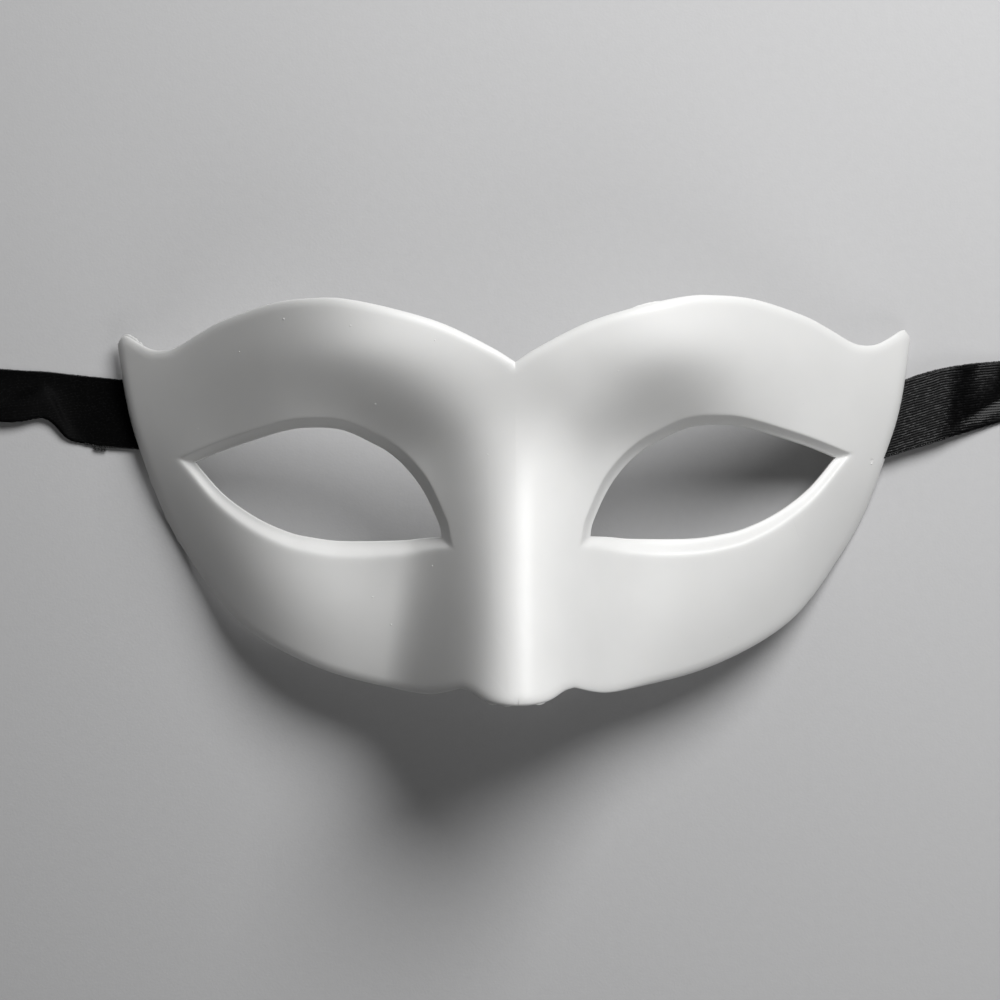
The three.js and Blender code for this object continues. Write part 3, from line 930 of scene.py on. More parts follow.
@dataclass(frozen=True)
class Mark:
    """A small mark on the moulding: a scratch or a pit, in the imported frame's metres."""

    at: tuple[float, float, float]
    turn: float
    long: float
    wide: float
    deep: float

    def mask(self, recipe: Recipe) -> bpy.types.NodeSocket:
        """Mask that is 1 in the middle of the mark and 0 outside it.

        Args:
            recipe: The material's recipe.

        Returns:
            The mask.
        """
        place = recipe.add("ShaderNodeTexCoord")
        centre = recipe.add("ShaderNodeMapping", vector_type="TEXTURE")
        centre.inputs["Location"].default_value = self.at
        centre.inputs["Rotation"].default_value = (0.0, 0.0, self.turn)
        centre.inputs["Scale"].default_value = (self.long / 2, self.wide / 2, 1.0)
        recipe.join(place.outputs["Object"], centre.inputs["Vector"])
        split = recipe.add("ShaderNodeSeparateXYZ")
        recipe.join(centre.outputs[0], split.inputs[0])
        squares = [recipe.math("POWER", recipe.math("ABSOLUTE", split.outputs[k]), 2.0) for k in ("X", "Y")]
        return recipe.math("SUBTRACT", 1.0, recipe.math("ADD", *squares), clamp=True)


@dataclass(frozen=True)
class MouldedWhite:
    """White moulded plastic, half matt, with faint mottling and a few marks."""

    bright: Colour = (0.80, 0.80, 0.79)
    dull: Colour = (0.765, 0.765, 0.755)
    roughness: Point = (0.40, 0.50)
    peel: float = 0.00002
    peel_share: float = 0.25
    mark_depth: float = 6.0
    marks: tuple[Mark, ...] = (
        Mark(at=(0.0630, -0.0078, 0.02), turn=math.radians(-70), long=0.0075, wide=0.00022, deep=0.6),
        Mark(at=(0.0812, 0.0082, 0.01), turn=0.3, long=0.0011, wide=0.0008, deep=1.0),
    )

    def make(self, grain: bpy.types.NodeTree) -> bpy.types.Material:
        """Build the material around the shared grain.

        Args:
            grain: The shared group.

        Returns:
            The material.
        """
        recipe, shader = start_material("moulded_white")
        node = place_group(recipe, grain, Patches=55.0, Pimples=2600.0)
        mottle = recipe.ramp(node.outputs["Mottle"], (0.3, 0.7), (0.0, 1.0))
        recipe.join(recipe.tint(mottle, self.dull, self.bright), shader.inputs["Base Color"])
        rough = recipe.ramp(node.outputs["Peel"], (0.3, 0.7), self.roughness)
        recipe.join(rough, shader.inputs["Roughness"])
        height = recipe.math("MULTIPLY", node.outputs["Peel"], self.peel_share)
        for mark in self.marks:
            cut = recipe.math("MULTIPLY", mark.mask(recipe), mark.deep * self.mark_depth)
            height = recipe.math("SUBTRACT", height, cut)
        recipe.raise_surface(shader, height, distance=self.peel, strength=0.55)
        shader.inputs["Subsurface Weight"].default_value = 0.06
        shader.inputs["Subsurface Radius"].default_value = (0.0016, 0.0015, 0.0013)
        shader.inputs["Subsurface Scale"].default_value = 1.0
        return bpy.data.materials["moulded_white"]


class RibbonSide(Enum):
    """Which side of the satin ribbon faces up."""

    SATIN = "satin"
    REVERSE = "reverse"


@dataclass(frozen=True)
class Weave:
    """How one side of the ribbon is woven and how it shines: threads and floats are for each metre."""

    threads: float
    floats: float
    share: float
    roughness: Point
    shine: float
    stretch: float


WEAVES: dict[RibbonSide, Weave] = {
    RibbonSide.SATIN: Weave(1750.0, 780.0, 0.50, roughness=(0.28, 0.15), shine=0.12, stretch=0.6),
    RibbonSide.REVERSE: Weave(2900.0, 2300.0, 0.46, roughness=(0.60, 0.50), shine=0.05, stretch=0.3),
}


@dataclass(frozen=True)
class BlackSatin:
    """Black ribbon with long shiny warp floats on its satin side and a duller, tighter reverse. Its base
    colour is painted a little lighter on the floats, as a faint painted sheen.
    """

    side: RibbonSide
    dark: Colour = (0.0012, 0.0012, 0.0013)
    # The lighter colour is for the floats: a faint painted sheen.
    light: Colour = (0.006, 0.006, 0.0063)
    float_height: float = 0.6
    quarter_turn: float = 0.25

    def make(self, floats: bpy.types.NodeTree) -> bpy.types.Material:
        """Build the material around the shared warp floats.

        Args:
            floats: The shared group.

        Returns:
            The material.
        """
        weave = WEAVES[self.side]
        name = f"black_{self.side.value}"
        recipe, shader = start_material(name)
        node = place_group(recipe, floats, Threads=weave.threads, Floats=weave.floats, Share=weave.share)
        floats_with_painted_sheen = node.outputs["Dash"]
        # Painted sheen: the base colour is lighter on the floats, standing in for their shine.
        recipe.join(recipe.tint(floats_with_painted_sheen, self.dark, self.light), shader.inputs["Base Color"])
        recipe.join(recipe.ramp(floats_with_painted_sheen, (0.0, 1.0), weave.roughness), shader.inputs["Roughness"])
        height = recipe.math("ADD", node.outputs["Thread"], recipe.math("MULTIPLY", floats_with_painted_sheen, self.float_height))
        recipe.raise_surface(shader, height, distance=0.00006, strength=0.6)
        shader.inputs["Specular IOR Level"].default_value = weave.shine
        shader.inputs["Anisotropic"].default_value = weave.stretch
        shader.inputs["Anisotropic Rotation"].default_value = self.quarter_turn
        tangent = recipe.add("ShaderNodeTangent", direction_type="UV_MAP", uv_map="weave")
        recipe.join(tangent.outputs[0], shader.inputs["Tangent"])
        return bpy.data.materials[name]


@dataclass(frozen=True)
class BlackThread:
    """Black polyester thread of the selvages and loose ends."""

    dark: Colour = (0.0015, 0.0015, 0.0016)
    light: Colour = (0.006, 0.006, 0.0065)
    roughness: Point = (0.30, 0.65)

    def make(self, grain: bpy.types.NodeTree) -> bpy.types.Material:
        """Build the material around the shared grain.

        Args:
            grain: The shared group.

        Returns:
            The material.
        """
        recipe, shader = start_material("black_thread")
        node = place_group(recipe, grain, Patches=1500.0, Pimples=5000.0)
        recipe.join(recipe.tint(node.outputs["Mottle"], self.dark, self.light), shader.inputs["Base Color"])
        rough = recipe.ramp(node.outputs["Mottle"], (0.35, 0.65), self.roughness)
        recipe.join(rough, shader.inputs["Roughness"])
        recipe.raise_surface(shader, node.outputs["Peel"], distance=0.00005, strength=0.7)
        shader.inputs["Specular IOR Level"].default_value = 0.5
        return bpy.data.materials["black_thread"]


@dataclass(frozen=True)
class SetGlue:
    """Milky glue that set in a soft bead."""

    bright: Colour = (0.72, 0.70, 0.62)
    dull: Colour = (0.60, 0.57, 0.47)

    def make(self, grain: bpy.types.NodeTree) -> bpy.types.Material:
        """Build the material around the shared grain.

        Args:
            grain: The shared group.

        Returns:
            The material.
        """
        recipe, shader = start_material("set_glue")
        node = place_group(recipe, grain, Patches=400.0, Pimples=1500.0)
        recipe.join(recipe.tint(node.outputs["Mottle"], self.dull, self.bright), shader.inputs["Base Color"])
        recipe.join(recipe.ramp(node.outputs["Peel"], (0.3, 0.7), (0.18, 0.34)), shader.inputs["Roughness"])
        recipe.raise_surface(shader, node.outputs["Mottle"], distance=0.0001)
        shader.inputs["Subsurface Weight"].default_value = 0.2
        shader.inputs["Subsurface Radius"].default_value = (0.003, 0.0028, 0.002)
        shader.inputs["Subsurface Scale"].default_value = 1.0
        return bpy.data.materials["set_glue"]


@dataclass(frozen=True)
class PaleFloor:
    """Plain pale floor with the faintest tooth."""

    bright: Colour = (0.56, 0.56, 0.565)
    dull: Colour = (0.53, 0.53, 0.535)

    def make(self, grain: bpy.types.NodeTree) -> bpy.types.Material:
        """Build the material around the shared grain.

        Args:
            grain: The shared group.

        Returns:
            The material.
        """
        recipe, shader = start_material("pale_floor")
        node = place_group(recipe, grain, Patches=500.0, Pimples=1600.0)
        recipe.join(recipe.tint(node.outputs["Mottle"], self.dull, self.bright), shader.inputs["Base Color"])
        recipe.raise_surface(shader, node.outputs["Peel"], distance=0.0001, strength=0.3)
        shader.inputs["Roughness"].default_value = 0.85
        shader.inputs["Specular IOR Level"].default_value = 0.2
        return bpy.data.materials["pale_floor"]


@dataclass
class MaskShell:
    """The moulded shell: outer face, rolled outline, sunken eye rims, lips and underside."""

    form: MaskForm
    column_step: float = 0.85
    edge_steps: tuple[int, int, int] = (400, 800, 200)
    search_reach: float = 8.0
    search_share: float = 0.45
    search_steps: int = 40
    roll_stretch: float = 2.6
    tuck: float = 0.3
    rim_depth: float = 2.4
    rim_power: float = 1.6
    upper_softness: float = 0.06
    lower_softness: float = 0.14
    mitre_softness: float = 0.06
    lid_overrun: float = 9.0
    roll_width: float = 2.2
    roll_drop: float = 1.15
    lip_bulge: float = 0.32
    lip_rows: int = 6
    skin_rows: int = 22
    under_rows: int = 12
    rim_stops: tuple[float, ...] = (
        0.0, 0.14, 0.28, 0.42, 0.55, 0.67, 0.77, 0.85, 0.91, 0.96, 1.0, 1.04, 1.09, 1.16, 1.26, 1.40, 1.60,
    )
    roll_turns: int = 9

    def lids(self) -> tuple[np.ndarray, np.ndarray]:
        """Upper and lower lid, each carried straight on past both corners.

        Returns:
            The two lines, in millimetres.
        """
        lids = []
        for table in (UPPER_LID, LOWER_LID):
            line = smooth_run(table, self.form.half, len(table) * self.form.run_fineness)
            ahead = line[-1] - line[-2]
            behind = line[0] - line[1]
            end = line[-1] + ahead / np.linalg.norm(ahead) * self.lid_overrun
            start = line[0] + behind / np.linalg.norm(behind) * self.lid_overrun
            lids.append(np.vstack([start, line, end]))
        return lids[0], lids[1]

    def rim_share(self, points: np.ndarray) -> tuple[np.ndarray, np.ndarray]:
        """How far each point lies across the sunken rim.

        Args:
            points: Places on the plan, two columns.

        Returns:
            The share, 0 at the lip and 1 at the rim's outer edge, and how much the lower lid rules there.
        """
        upper, lower = self.lids()
        x = points[:, 0] / self.form.half[0]
        above = signed_distance(points, upper) / np.interp(x, *zip(*UPPER_RIM))
        below = signed_distance(points, lower) / np.interp(x, *zip(*LOWER_RIM))
        return soft_max(above, below, self.mitre_softness), smooth_step(below - above, -0.4, 0.4)

    def sunk(self, points: np.ndarray) -> np.ndarray:
        """How far the rim has sunk below the face at each point.

        Args:
            points: Places on the plan, two columns.

        Returns:
            One depth for each point, in millimetres.
        """
        share, lower = self.rim_share(points)
        soft = self.upper_softness + (self.lower_softness - self.upper_softness) * lower
        inside = soft * np.logaddexp(0.0, (1.0 - share) / soft)
        return self.rim_depth * (1.0 - np.clip(1.0 - inside, 0.0, 1.0) ** self.rim_power)

    def column_ends(self) -> np.ndarray:
        """Outer ends of the mesh columns: round the outline, then up the middle line.

        Returns:
            One end for each column, in millimetres.
        """
        form = self.form
        half = np.array(form.half)
        corner = form.meet(form.outline, np.array([UPPER_LID[-1]]) * half)[0]
        brow, side, nose = (
            smooth_run(table, form.half, steps)
            for table, steps in zip((BROW_RUN, SIDE_RUN, NOSE_RUN), self.edge_steps)
        )
        split = int((side[:, 1] < corner[1]).argmax())
        inner = np.array(UPPER_LID[0]) * half
        share = form.hub[0] / (form.hub[0] - inner[0])
        foot = np.array([0.0, nose[-1, 1]])
        seam = np.array([0.0, form.hub[1] + (inner[1] - form.hub[1]) * share])
        notch = np.array([0.0, brow[0, 1]])
        edge = [
            even_points(brow, self.column_step),
            even_points(np.vstack([side[:split], corner]), self.column_step),
            even_points(np.vstack([corner, side[split:]]), self.column_step),
            even_points(nose, self.column_step / 2),
            foot[None],
        ]
        middle = [
            even_points(np.vstack([foot, seam]), self.column_step)[1:],
            even_points(np.vstack([seam, notch]), self.column_step),
        ]
        return np.vstack(edge + middle)

    def stops(self, lips: np.ndarray, ends: np.ndarray) -> np.ndarray:
        """Distances from the lip along each column at which its rows lie.

        Args:
            lips: Inner ends of the columns.
            ends: Outer ends of the columns.

        Returns:
            One row of rising distances for each column.
        """
        away = ends - lips
        length = np.linalg.norm(away, axis=1)
        samples = np.linspace(0.0, 1.0, self.search_steps)
        near = np.minimum(self.search_reach, length * self.search_share)
        inner = lips[:, None] + away[:, None] * (samples[None, :, None] * (near / length)[:, None, None])
        shares = self.rim_share(inner.reshape(-1, 2))[0].reshape(len(ends), -1)
        outer = ends[:, None] - away[:, None] * (samples[None, :, None] * (near / length)[:, None, None])
        gaps = np.abs(signed_distance(outer.reshape(-1, 2), self.form.outline)).reshape(len(ends), -1)
        turns = np.linspace(0.0, math.pi / 2, self.roll_turns)
        depths = self.roll_width * (1.0 - np.cos(turns))
        rows = []
        for j in range(len(ends)):
            crossing = np.maximum.accumulate(shares[j]) + samples * 1e-6
            rim = np.interp(self.rim_stops, crossing, samples * near[j])
            rim[0] = 0.0
            rise = np.maximum.accumulate(gaps[j] - gaps[j, 0]) + samples * 1e-6
            roll = np.interp(depths, rise, samples * near[j])
            roll = length[j] - np.minimum(roll, depths * self.roll_stretch)
            skin = np.linspace(rim[-1], roll[-1], self.skin_rows + 2)[1:-1]
            rows.append(np.concatenate([rim, skin, roll[::-1]]))
        return np.array(rows)

    def edge_roll(self, points: np.ndarray) -> np.ndarray:
        """How far the face has rolled down towards the outline.

        Args:
            points: Places on the plan, two columns.

        Returns:
            One drop for each point, in millimetres.
        """
        gap = np.abs(signed_distance(points, self.form.outline))
        inside = np.clip(1.0 - gap / self.roll_width, 0.0, 1.0)
        return self.roll_drop * (1.0 - np.sqrt(np.clip(1.0 - inside**2, 0.0, 1.0)))

    def heights(self, points: np.ndarray) -> tuple[np.ndarray, np.ndarray]:
        """Top and underside of the wall at points on the plan.

        Args:
            points: Places on the plan, two columns.

        Returns:
            The heights of the top and of the underside.
        """
        x, y = points[:, 0], points[:, 1]
        face = self.form.face(x, y) - self.sunk(points)
        return face - self.edge_roll(points), face - self.form.wall_drop(x, y)

    def half_grid(self) -> np.ndarray:
        """Closed cross-sections of the right half, one for each column.

        Returns:
            An array of columns by points by x, y and z, which runs from the lip over the face, round the
            outline and back along the underside to the lip.
        """
        ends = self.column_ends()
        lips = self.form.meet(self.form.eye_loop, ends)
        away = ends - lips
        length = np.linalg.norm(away, axis=1, keepdims=True)
        way = away / length
        stops = self.stops(lips, ends)
        stops[:, 0] = self.lip_bulge
        stops[:, 1] = np.maximum(stops[:, 1], self.lip_bulge * 1.25)
        plan = lips[:, None] + way[:, None] * stops[..., None]
        flat = plan.reshape(-1, 2)
        top, under = (values.reshape(stops.shape) for values in self.heights(flat))
        over = np.dstack([plan, top])
        picks = np.unique(np.round(np.linspace(0, stops.shape[1] - 1, self.under_rows + 1)).astype(int))[::-1]
        below = np.dstack([plan[:, picks], under[:, picks]])
        below[:, 0, 2] = np.minimum(below[:, 0, 2] + self.tuck, (over[:, -1, 2] + below[:, 0, 2]) / 2)
        tuck = below[:, :1].copy()
        tuck[:, 0, :2] = plan[:, -1] - way * self.tuck
        tuck[:, 0, 2] = under[:, -1]
        turn = np.linspace(0.0, math.pi, self.lip_rows + 1)[1:-1]
        low, high = below[:, -1:, 2], over[:, :1, 2]
        lip_plan = lips[:, None] + way[:, None] * (self.lip_bulge * (1.0 - np.sin(turn)))[None, :, None]
        lip_height = (high + low) / 2 - (high - low) / 2 * np.cos(turn)[None, :]
        lip = np.dstack([lip_plan, lip_height])
        seam = np.abs(ends[:, 0]) < 1e-9
        tuck[seam, 0, 0] = below[seam, 0, 0]
        tuck[seam, 0, :2] = below[seam, 0, :2]
        sections = np.concatenate([over, below[:, :1], tuck, below[:, 1:], lip], axis=1)
        return sections

    def build(self) -> bpy.types.Mesh:
        """Shell of both halves, welded along the middle line.

        Returns:
            The mesh, set down on the surface.
        """
        sections = self.half_grid()
        self.form.lift -= sections[..., 2].min()
        sections[..., 2] -= sections[..., 2].min()
        columns, around = sections.shape[:2]
        right = sections.reshape(-1, 3)
        left = right * np.array([-1.0, 1.0, 1.0])
        points = np.vstack([right, left])
        number = np.arange(columns * around).reshape(columns, around)
        here, there = number, np.roll(number, -1, axis=0)
        ahead = np.roll(number, -1, axis=1)
        ahead_there = np.roll(there, -1, axis=1)
        quads = np.dstack([here, ahead, ahead_there, there]).reshape(-1, 4)
        on_seam = np.abs(points[quads, 0]).max(axis=1) < 1e-9
        quads = quads[~on_seam]
        mirrored = quads[:, ::-1] + columns * around
        mesh = mesh_from("mask_shell", points, np.vstack([quads, mirrored]).tolist(), self.form)
        weld(mesh)
        return mesh


def weld(mesh: bpy.types.Mesh, reach: float = 1e-6) -> None:
    """Merge vertices that share a place and point every face outwards.

    Args:
        mesh: The mesh, which is changed.
        reach: How near two vertices lie to be merged, in metres.
    """
    work = bmesh.new()
    work.from_mesh(mesh)
    bmesh.ops.remove_doubles(work, verts=work.verts, dist=reach)
    bmesh.ops.dissolve_degenerate(work, edges=work.edges, dist=reach / 10)
    bmesh.ops.recalc_face_normals(work, faces=work.faces)
    work.to_mesh(mesh)
    work.free()
    mesh.shade_smooth()


@dataclass
class SatinRibbon:
    """A ribbon from its glued seat behind the shell's side to its free end."""

    form: MaskForm
    name: str
    side: int
    rows: tuple[tuple[float, float, float], ...]
    lean: float
    lie: tuple[tuple[float, float, float], ...]
    slant: float
    seat_inner: float = 75.5
    reach: float = 121.0
    thickness: float = 0.3
    width: float = 15.8
    ease: float = 0.8
    clearance: float = 0.12
    step: float = 0.4
    across: int = 56
    lie_middle: float = 20.0
    low_margin: float = 3.0
    high_margin: float = 1.0
    fold_from: float = 97.5
    fold_to: float = 101.5
    fold_full: float = 1.5
    fold_settle: float = 3.0
    fold_radius: float = 0.45
    fold_gap: float = 0.6
    tuft_half: float = 1.1

    def edges(self, x: np.ndarray) -> tuple[np.ndarray, np.ndarray]:
        """Low and high visible edge at each x, in millimetres.

        Args:
            x: Places across the mask.

        Returns:
            The two edges.
        """
        table = np.array(self.rows)
        share = x / self.form.half[0]
        low = CubicRun(table[:, 0], table[:, 1])(share) * self.form.half[1]
        high = CubicRun(table[:, 0], table[:, 2])(share) * self.form.half[1]
        return low, high

    def drape(self, x: np.ndarray, y: np.ndarray) -> np.ndarray:
        """Height of the ribbon's middle surface where it isn't folded.

        Args:
            x: Places across the mask, in millimetres.
            y: Places up the mask, in millimetres.

        Returns:
            One height for each place.
        """
        slope = self.form.wall_drop(x, y) / self.form.wall
        ceiling = self.form.under(x, y) - (self.clearance + self.thickness / 2) * slope
        low, high = self.edges(x)
        table = np.array(self.lie)
        along = x - self.slant * (y - self.lie_middle)
        share = smooth_step(y, low + self.low_margin, high - self.high_margin)
        free = CubicRun(table[:, 0], table[:, 1])(along) * (1.0 - share)
        free = free + CubicRun(table[:, 0], table[:, 2])(along) * share
        return soft_max(free, ceiling - self.ease / 2, self.ease)

    def middle(self) -> tuple[np.ndarray, np.ndarray]:
        """Middle surface of the cloth.

        Returns:
            The points, stations by places across, and the weave's UV map in metres.
        """
        count = round((self.reach - self.seat_inner) / self.step)
        x = np.linspace(self.seat_inner, self.reach, count + 1)[:, None]
        low, high = self.edges(x)
        shrink = math.cos(self.lean)
        spare = np.maximum(self.width - (high - low) * shrink, 0.0)
        hidden = spare * smooth_step(x, self.fold_from, self.fold_to)
        place = np.linspace(0.0, 1.0, self.across + 1)[None, :]
        breadth = (high - low) * shrink + hidden
        v = place * breadth
        past = v - hidden
        y = low + np.abs(past) / shrink
        z = self.drape(x + 0.0 * y, y)
        folded = np.minimum(hidden / self.fold_full, 1.0)
        over = smooth_step(past, -self.fold_radius, self.fold_radius)
        settle = 1.0 - smooth_step(past - hidden, 0.0, self.fold_settle)
        z = z + self.fold_gap * folded * over * settle
        points = np.dstack([self.side * x + 0.0 * y, y, z])
        along = x * math.cos(self.lean) + y * math.sin(self.lean)
        return points, np.dstack([along + 0.0 * y, v]) * MM

    def build(self, material: bpy.types.Material) -> bpy.types.Object:
        """Closed cloth of even thickness around the middle surface.

        Args:
            material: Finish of the cloth.

        Returns:
            The cloth, with its weave's UV map.
        """
        points, weave = self.middle()
        along = np.gradient(points, axis=0)
        across = np.gradient(points, axis=1)
        normal = np.cross(along, across) * self.side
        normal /= np.linalg.norm(normal, axis=2, keepdims=True)
        over = points + normal * self.thickness / 2
        under = points - normal * self.thickness / 2
        stations, places = points.shape[:2]
        loop = np.concatenate([over, under[:, ::-1]], axis=1)
        number = np.arange(stations * 2 * places).reshape(stations, 2 * places)
        here, there = number[:-1], number[1:]
        quads = np.dstack([here, np.roll(here, -1, 1), np.roll(there, -1, 1), there]).reshape(-1, 4).tolist()
        for row in (number[0], number[-1]):
            top, bottom = row[:places], row[places:][::-1]
            quads += [[top[k], top[k + 1], bottom[k + 1], bottom[k]] for k in range(places - 1)]
        mesh = mesh_from(self.name, loop.reshape(-1, 3), [[int(n) for n in q] for q in quads], self.form)
        uv = np.concatenate([weave, weave[:, ::-1]], axis=1).reshape(-1, 2)
        layer = mesh.uv_layers.new(name="weave")
        corner_vertex = np.empty(len(mesh.loops), int)
        mesh.loops.foreach_get("vertex_index", corner_vertex)
        layer.data.foreach_set("uv", uv[corner_vertex].ravel().astype(np.float32))
        weld(mesh, 1e-8)
        return show(self.name, mesh, material)

    def length(self) -> float:
        """Flat length of the ribbon, in metres.

        Returns:
            Length along the middle of the cloth.
        """
        points, _ = self.middle()
        line = points[:, points.shape[1] // 2]
        return float(np.linalg.norm(np.diff(line, axis=0), axis=1).sum()) * MM

    def edge_lines(self) -> list[np.ndarray]:
        """The two woven edges of the cloth as lines of points, in millimetres."""
        points, _ = self.middle()
        return [points[:, 0], points[:, -1]]

    def end_line(self) -> np.ndarray:
        """The cut edge at the free end, in millimetres."""
        points, _ = self.middle()
        return points[-1]

    def trim(
        self, stitches: bpy.types.NodeTree, hairs: bpy.types.NodeTree, black: bpy.types.Material
    ) -> list[bpy.types.Object]:
        """Woven beads along both selvages and loose threads at the cut end.

        Args:
            stitches: Group that makes the beads.
            hairs: Group that makes the threads.
            black: Finish of both.

        Returns:
            The two pieces.
        """
        selvage = line_mesh(f"{self.name}_edges", self.edge_lines(), self.form)
        cut = line_mesh(f"{self.name}_end", [self.end_line()], self.form)
        outwards = (float(self.side), 0.0, 0.0)
        return [
            grow(f"{self.name}_selvage", selvage, stitches, black, Spacing=0.00058, Size=0.00027),
            grow(f"{self.name}_fray", cut, hairs, black, Count=46, Outwards=outwards),
        ]

    def tuft(self, hairs: bpy.types.NodeTree, black: bpy.types.Material, x: float) -> bpy.types.Object:
        """Small bunch of loose thread that hangs out of the low selvage.

        Args:
            hairs: Group that makes the threads.
            black: Their finish.
            x: Where it hangs, in millimetres.

        Returns:
            The tuft.
        """
        reach = np.array([x - self.tuft_half, x, x + self.tuft_half])
        low, _ = self.edges(reach)
        height = self.drape(reach, low)
        line = np.column_stack([self.side * reach, low, height])
        mesh = line_mesh(f"{self.name}_pulled", [line], self.form)
        return grow(
            f"{self.name}_tuft", mesh, hairs, black, Count=80, Length=0.0011, Radius=0.0001,
            Outwards=(0.0, -1.0, 0.0), Seed=11,
        )


@dataclass
class GlueBead:
    """The bead of set glue that holds a ribbon's end to the inner wall."""

    form: MaskForm
    ribbon: SatinRibbon
    name: str
    length: float = 5.0
    overhang: float = 1.0
    thickness: float = 1.3
    rim_thickness: float = 0.12
    clearance: float = 0.05
    around: int = 40
    stations: int = 26

    def build(self, material: bpy.types.Material) -> bpy.types.Object:
        """Soft bead under the ribbon's end: full in the middle and drawn in at its rim.

        Args:
            material: Finish of the glue.

        Returns:
            The bead.
        """
        start = self.ribbon.seat_inner
        centre_x = start + self.length / 2
        low, high = self.ribbon.edges(np.array([[centre_x]]))
        centre_y = float((low + high)[0, 0]) / 2
        half_y = float((high - low)[0, 0]) / 2 + self.overhang
        turn = np.linspace(0.0, 2 * math.pi, self.around, endpoint=False)[None, :]
        reach = np.sin(np.linspace(0.0, math.pi / 2, self.stations))[:, None]
        wobble = 1.0 - 0.05 * (1 + np.sin(3 * turn + 0.7)) - 0.03 * (1 + np.sin(5 * turn))
        corner = (np.abs(np.cos(turn)) ** 4 + np.abs(np.sin(turn)) ** 4) ** -0.25
        x = centre_x + self.length / 2 * reach * wobble * corner * np.cos(turn)
        y = centre_y + half_y * reach * wobble * corner * np.sin(turn)
        slope = self.form.wall_drop(x, y) / self.form.wall
        roof = self.ribbon.drape(x, y) - (self.ribbon.thickness / 2 + self.clearance) * slope
        swell = self.thickness * np.sqrt(np.clip(1.0 - reach**2, 0.0, 1.0)) * (1 + 0.12 * np.sin(2 * y))
        floor = roof - self.rim_thickness - swell * slope
        side = self.ribbon.side
        top = np.dstack([side * x, y, roof + 0.0 * x])
        bottom = np.dstack([side * x, y, floor])
        number = np.arange(top.shape[0] * top.shape[1]).reshape(top.shape[:2])
        here, there = number[:-1], number[1:]
        sheet = np.dstack([here, np.roll(here, -1, 1), np.roll(there, -1, 1), there]).reshape(-1, 4)
        count = number.size
        faces = sheet.tolist() + (sheet[:, ::-1] + count).tolist()
        rim = number[-1]
        faces += np.column_stack([rim, rim + count, np.roll(rim, -1) + count, np.roll(rim, -1)]).tolist()
        points = np.vstack([top.reshape(-1, 3), bottom.reshape(-1, 3)])
        mesh = mesh_from(self.name, points, faces, self.form)
        weld(mesh)
        return show(self.name, mesh, material)


@dataclass
class MouldingTraces:
    """Small traces that the moulding left: flash on the outline and dried drips on the face."""

    form: MaskForm
    edge_drop: float = 1.25
    raggedness: float = 0.6
    drip_sink: float = 0.25

    def flash_path(self, side: int, start: Point, end: Point) -> np.ndarray:
        """Piece of the outline between two places, in millimetres.

        Args:
            side: 1 for the right half and -1 for the left one.
            start: One end, as shares.
            end: The other end, as shares.

        Returns:
            Points a little below the face's edge.
        """
        outline = self.form.outline
        ends = np.array([start, end]) * np.array(self.form.half)
        first, last = sorted(int(np.linalg.norm(outline - place, axis=1).argmin()) for place in ends)
        plan = outline[first:last + 1]
        height = self.form.face(plan[:, 0], plan[:, 1]) - self.edge_drop
        return np.column_stack([side * plan[:, 0], plan[:, 1], height])

    def build_flash(self, tree: bpy.types.NodeTree, material: bpy.types.Material) -> list[bpy.types.Object]:
        """One ragged fin for each run of flash.

        Args:
            tree: Group that makes a fin.
            material: Finish of the fins.

        Returns:
            The fins.
        """
        fins = []
        for number, (side, start, end, tall) in enumerate(FLASH, 1):
            mesh = line_mesh(f"flash_{number}", [self.flash_path(side, start, end)], self.form)
            sizes = {"Height": tall * MM, "Waver": tall * self.raggedness * MM}
            fins.append(grow(f"mask_flash_{number}", mesh, tree, material, **sizes))
        return fins

    def build_specks(self, tree: bpy.types.NodeTree, material: bpy.types.Material) -> bpy.types.Object:
        """Drips that stand a little out of the face.

        Args:
            tree: Group that makes the drips.
            material: Their finish.

        Returns:
            All the drips, as one piece.
        """
        table = np.array(SPECKS)
        height = self.form.face(table[:, 0], table[:, 1]) - table[:, 2] * self.drip_sink
        points = np.column_stack([table[:, :2], height])
        mesh = line_mesh("specks", [points[k:k + 1] for k in range(len(points))], self.form)
        radius = mesh.attributes.new("drip_radius", "FLOAT", "POINT")
        radius.data.foreach_set("value", (table[:, 2] * MM).astype(np.float32))
        return grow("mask_specks", mesh, tree, material)


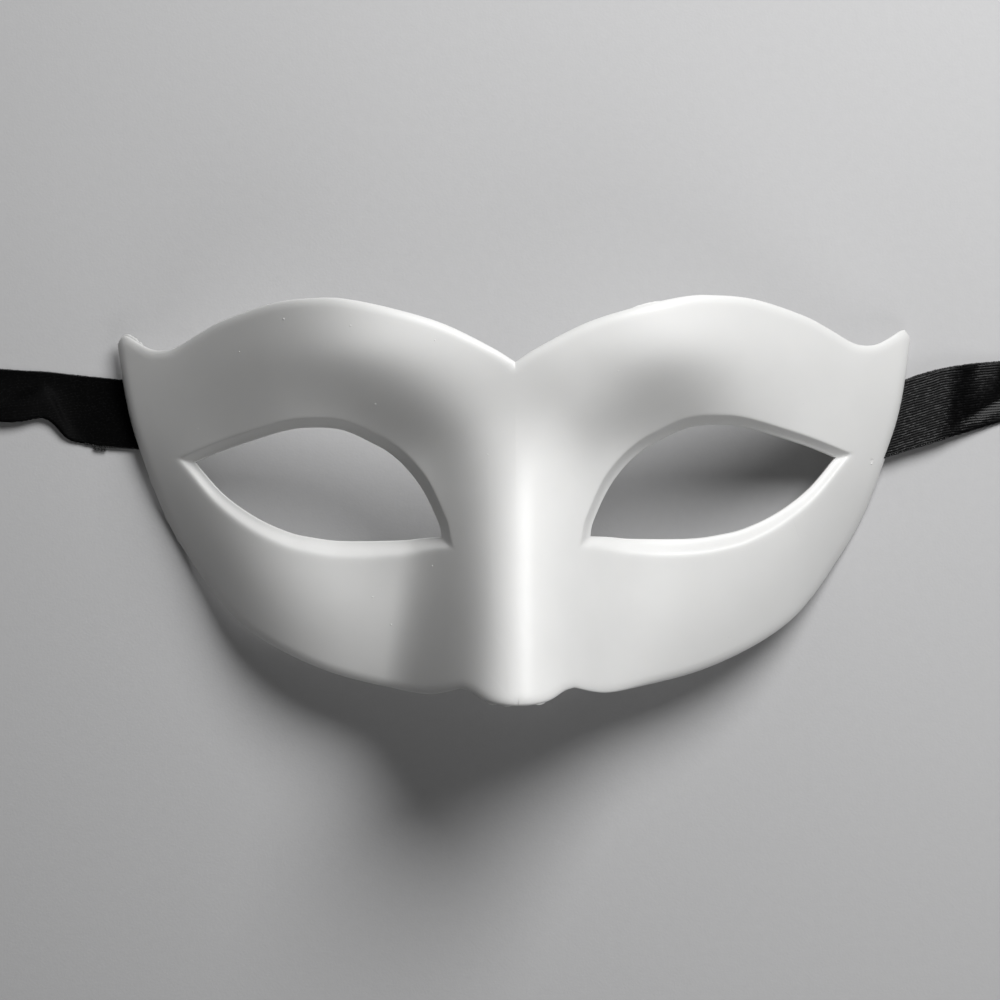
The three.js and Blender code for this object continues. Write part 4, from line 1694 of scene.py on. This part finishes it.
@dataclass
class Studio:
    """Floor, lights and camera."""

    key_from: tuple[float, float, float] = (0.32, 0.57, 0.76)
    key_distance: float = 0.6
    key_size: float = 0.36
    key_watts: float = 3.8
    low_from: tuple[float, float, float] = (0.35, -0.61, 0.71)
    low_size: float = 0.4
    low_watts: float = 0.5
    fill_strength: float = 0.015
    floor_size: float = 6.0
    camera_height: float = 0.7
    camera_x: float = -0.00345
    camera_y: float = -0.00026
    camera_turn: float = math.radians(-0.4)
    lens: float = 109.57

    def lay_floor(self, material: bpy.types.Material) -> None:
        """Pale floor under the mask.

        Args:
            material: Finish of the floor.
        """
        half = self.floor_size / 2
        mesh = bpy.data.meshes.new("floor")
        corners = [(-half, -half, 0), (half, -half, 0), (half, half, 0), (-half, half, 0)]
        mesh.from_pydata(corners, [], [(0, 1, 2, 3)])
        floor = show("floor", mesh, material)

    def hang_light(self, name: str, way: tuple[float, float, float], size: float, watts: float) -> None:
        """Round soft light that looks at the mask from one side.

        Args:
            name: Name of the light.
            way: Direction in which it hangs.
            size: Width of its disk, in metres.
            watts: Its power.
        """
        light = bpy.data.lights.new(name, "AREA")
        light.shape = "DISK"
        light.size = size
        light.energy = watts
        lamp = bpy.data.objects.new(name, light)
        aim = Vector(way).normalized()
        lamp.location = aim * self.key_distance
        lamp.rotation_euler = aim.to_track_quat("Z", "Y").to_euler()
        bpy.context.scene.collection.objects.link(lamp)

    def hang_lights(self) -> None:
        """Broad key from the upper right, a weaker one from the lower right and a faint fill all round."""
        self.hang_light("key", self.key_from, self.key_size, self.key_watts)
        self.hang_light("low", self.low_from, self.low_size, self.low_watts)
        world = bpy.data.worlds.new("studio")
        world.use_nodes = True
        world.node_tree.nodes["Background"].inputs["Color"].default_value = (1.0, 1.0, 1.0, 1.0)
        world.node_tree.nodes["Background"].inputs["Strength"].default_value = self.fill_strength
        bpy.context.scene.world = world
        bpy.context.scene.view_settings.view_transform = "Standard"

    def set_camera(self) -> None:
        """Camera straight above the mask, as in the photograph."""
        data = bpy.data.cameras.new("camera")
        data.lens = self.lens
        data.sensor_width = 36.0
        data.clip_start = 0.01
        camera = bpy.data.objects.new("camera", data)
        camera.location = (self.camera_x, self.camera_y, self.camera_height)
        camera.rotation_euler = (0.0, 0.0, self.camera_turn)
        bpy.context.scene.collection.objects.link(camera)
        bpy.context.scene.camera = camera


def declare(piece: bpy.types.Object, node: str | None = None) -> None:
    """Set a piece on the frame's body, hide the part that it stands for, if any, and log its face count.

    Args:
        piece: The piece.
        node: Name of the part that it replaces, if any.
    """
    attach(piece, BODY)
    if node is not None:
        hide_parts(node)
    LOG.info("%s: %d faces", piece.name, len(piece.data.polygons))


def main() -> None:
    """Build the finishes, the shell with its traces, the ribbons, the glue and the studio."""
    logging.basicConfig(level=logging.INFO, format="%(message)s")
    grain = grain_group()
    floats = float_group()
    white = MouldedWhite().make(grain)
    satin = BlackSatin(RibbonSide.SATIN).make(floats)
    reverse = BlackSatin(RibbonSide.REVERSE).make(floats)
    thread = BlackThread().make(grain)
    glue = SetGlue().make(grain)
    stitches, hairs = stitch_group(), hair_group()

    form = MaskForm()
    shell = show("mask_shell_moulded", MaskShell(form).build(), white)
    declare(shell, "mask_shell")
    traces = MouldingTraces(form)
    for piece in [*traces.build_flash(fin_group(), white), traces.build_specks(speck_group(), white)]:
        declare(piece)

    right = SatinRibbon(form, "ribbon_right_satin", 1, RIGHT_RIBBON, math.radians(13), RIGHT_LIE, 0.24)
    left = SatinRibbon(form, "ribbon_left_satin", -1, LEFT_RIBBON, math.radians(6), LEFT_LIE, 0.0)
    for ribbon, node, cloth in ((right, "ribbon_right", satin), (left, "ribbon_left", reverse)):
        piece = ribbon.build(cloth)
        declare(piece, node)
        trims = ribbon.trim(stitches, hairs, thread)
        if ribbon is left:
            trims.append(ribbon.tuft(hairs, thread, 95.2))
        for trim in trims:
            declare(trim)
        flat = (ribbon.width * MM, ribbon.length())
        bead = GlueBead(form, ribbon, node.replace("ribbon", "glue_bead")).build(glue)
        declare(bead, node.replace("ribbon", "glue_pad"))

    studio = Studio()
    studio.lay_floor(PaleFloor().make(grain))
    studio.hang_lights()
    studio.set_camera()


if __name__ == "__main__":
    main()
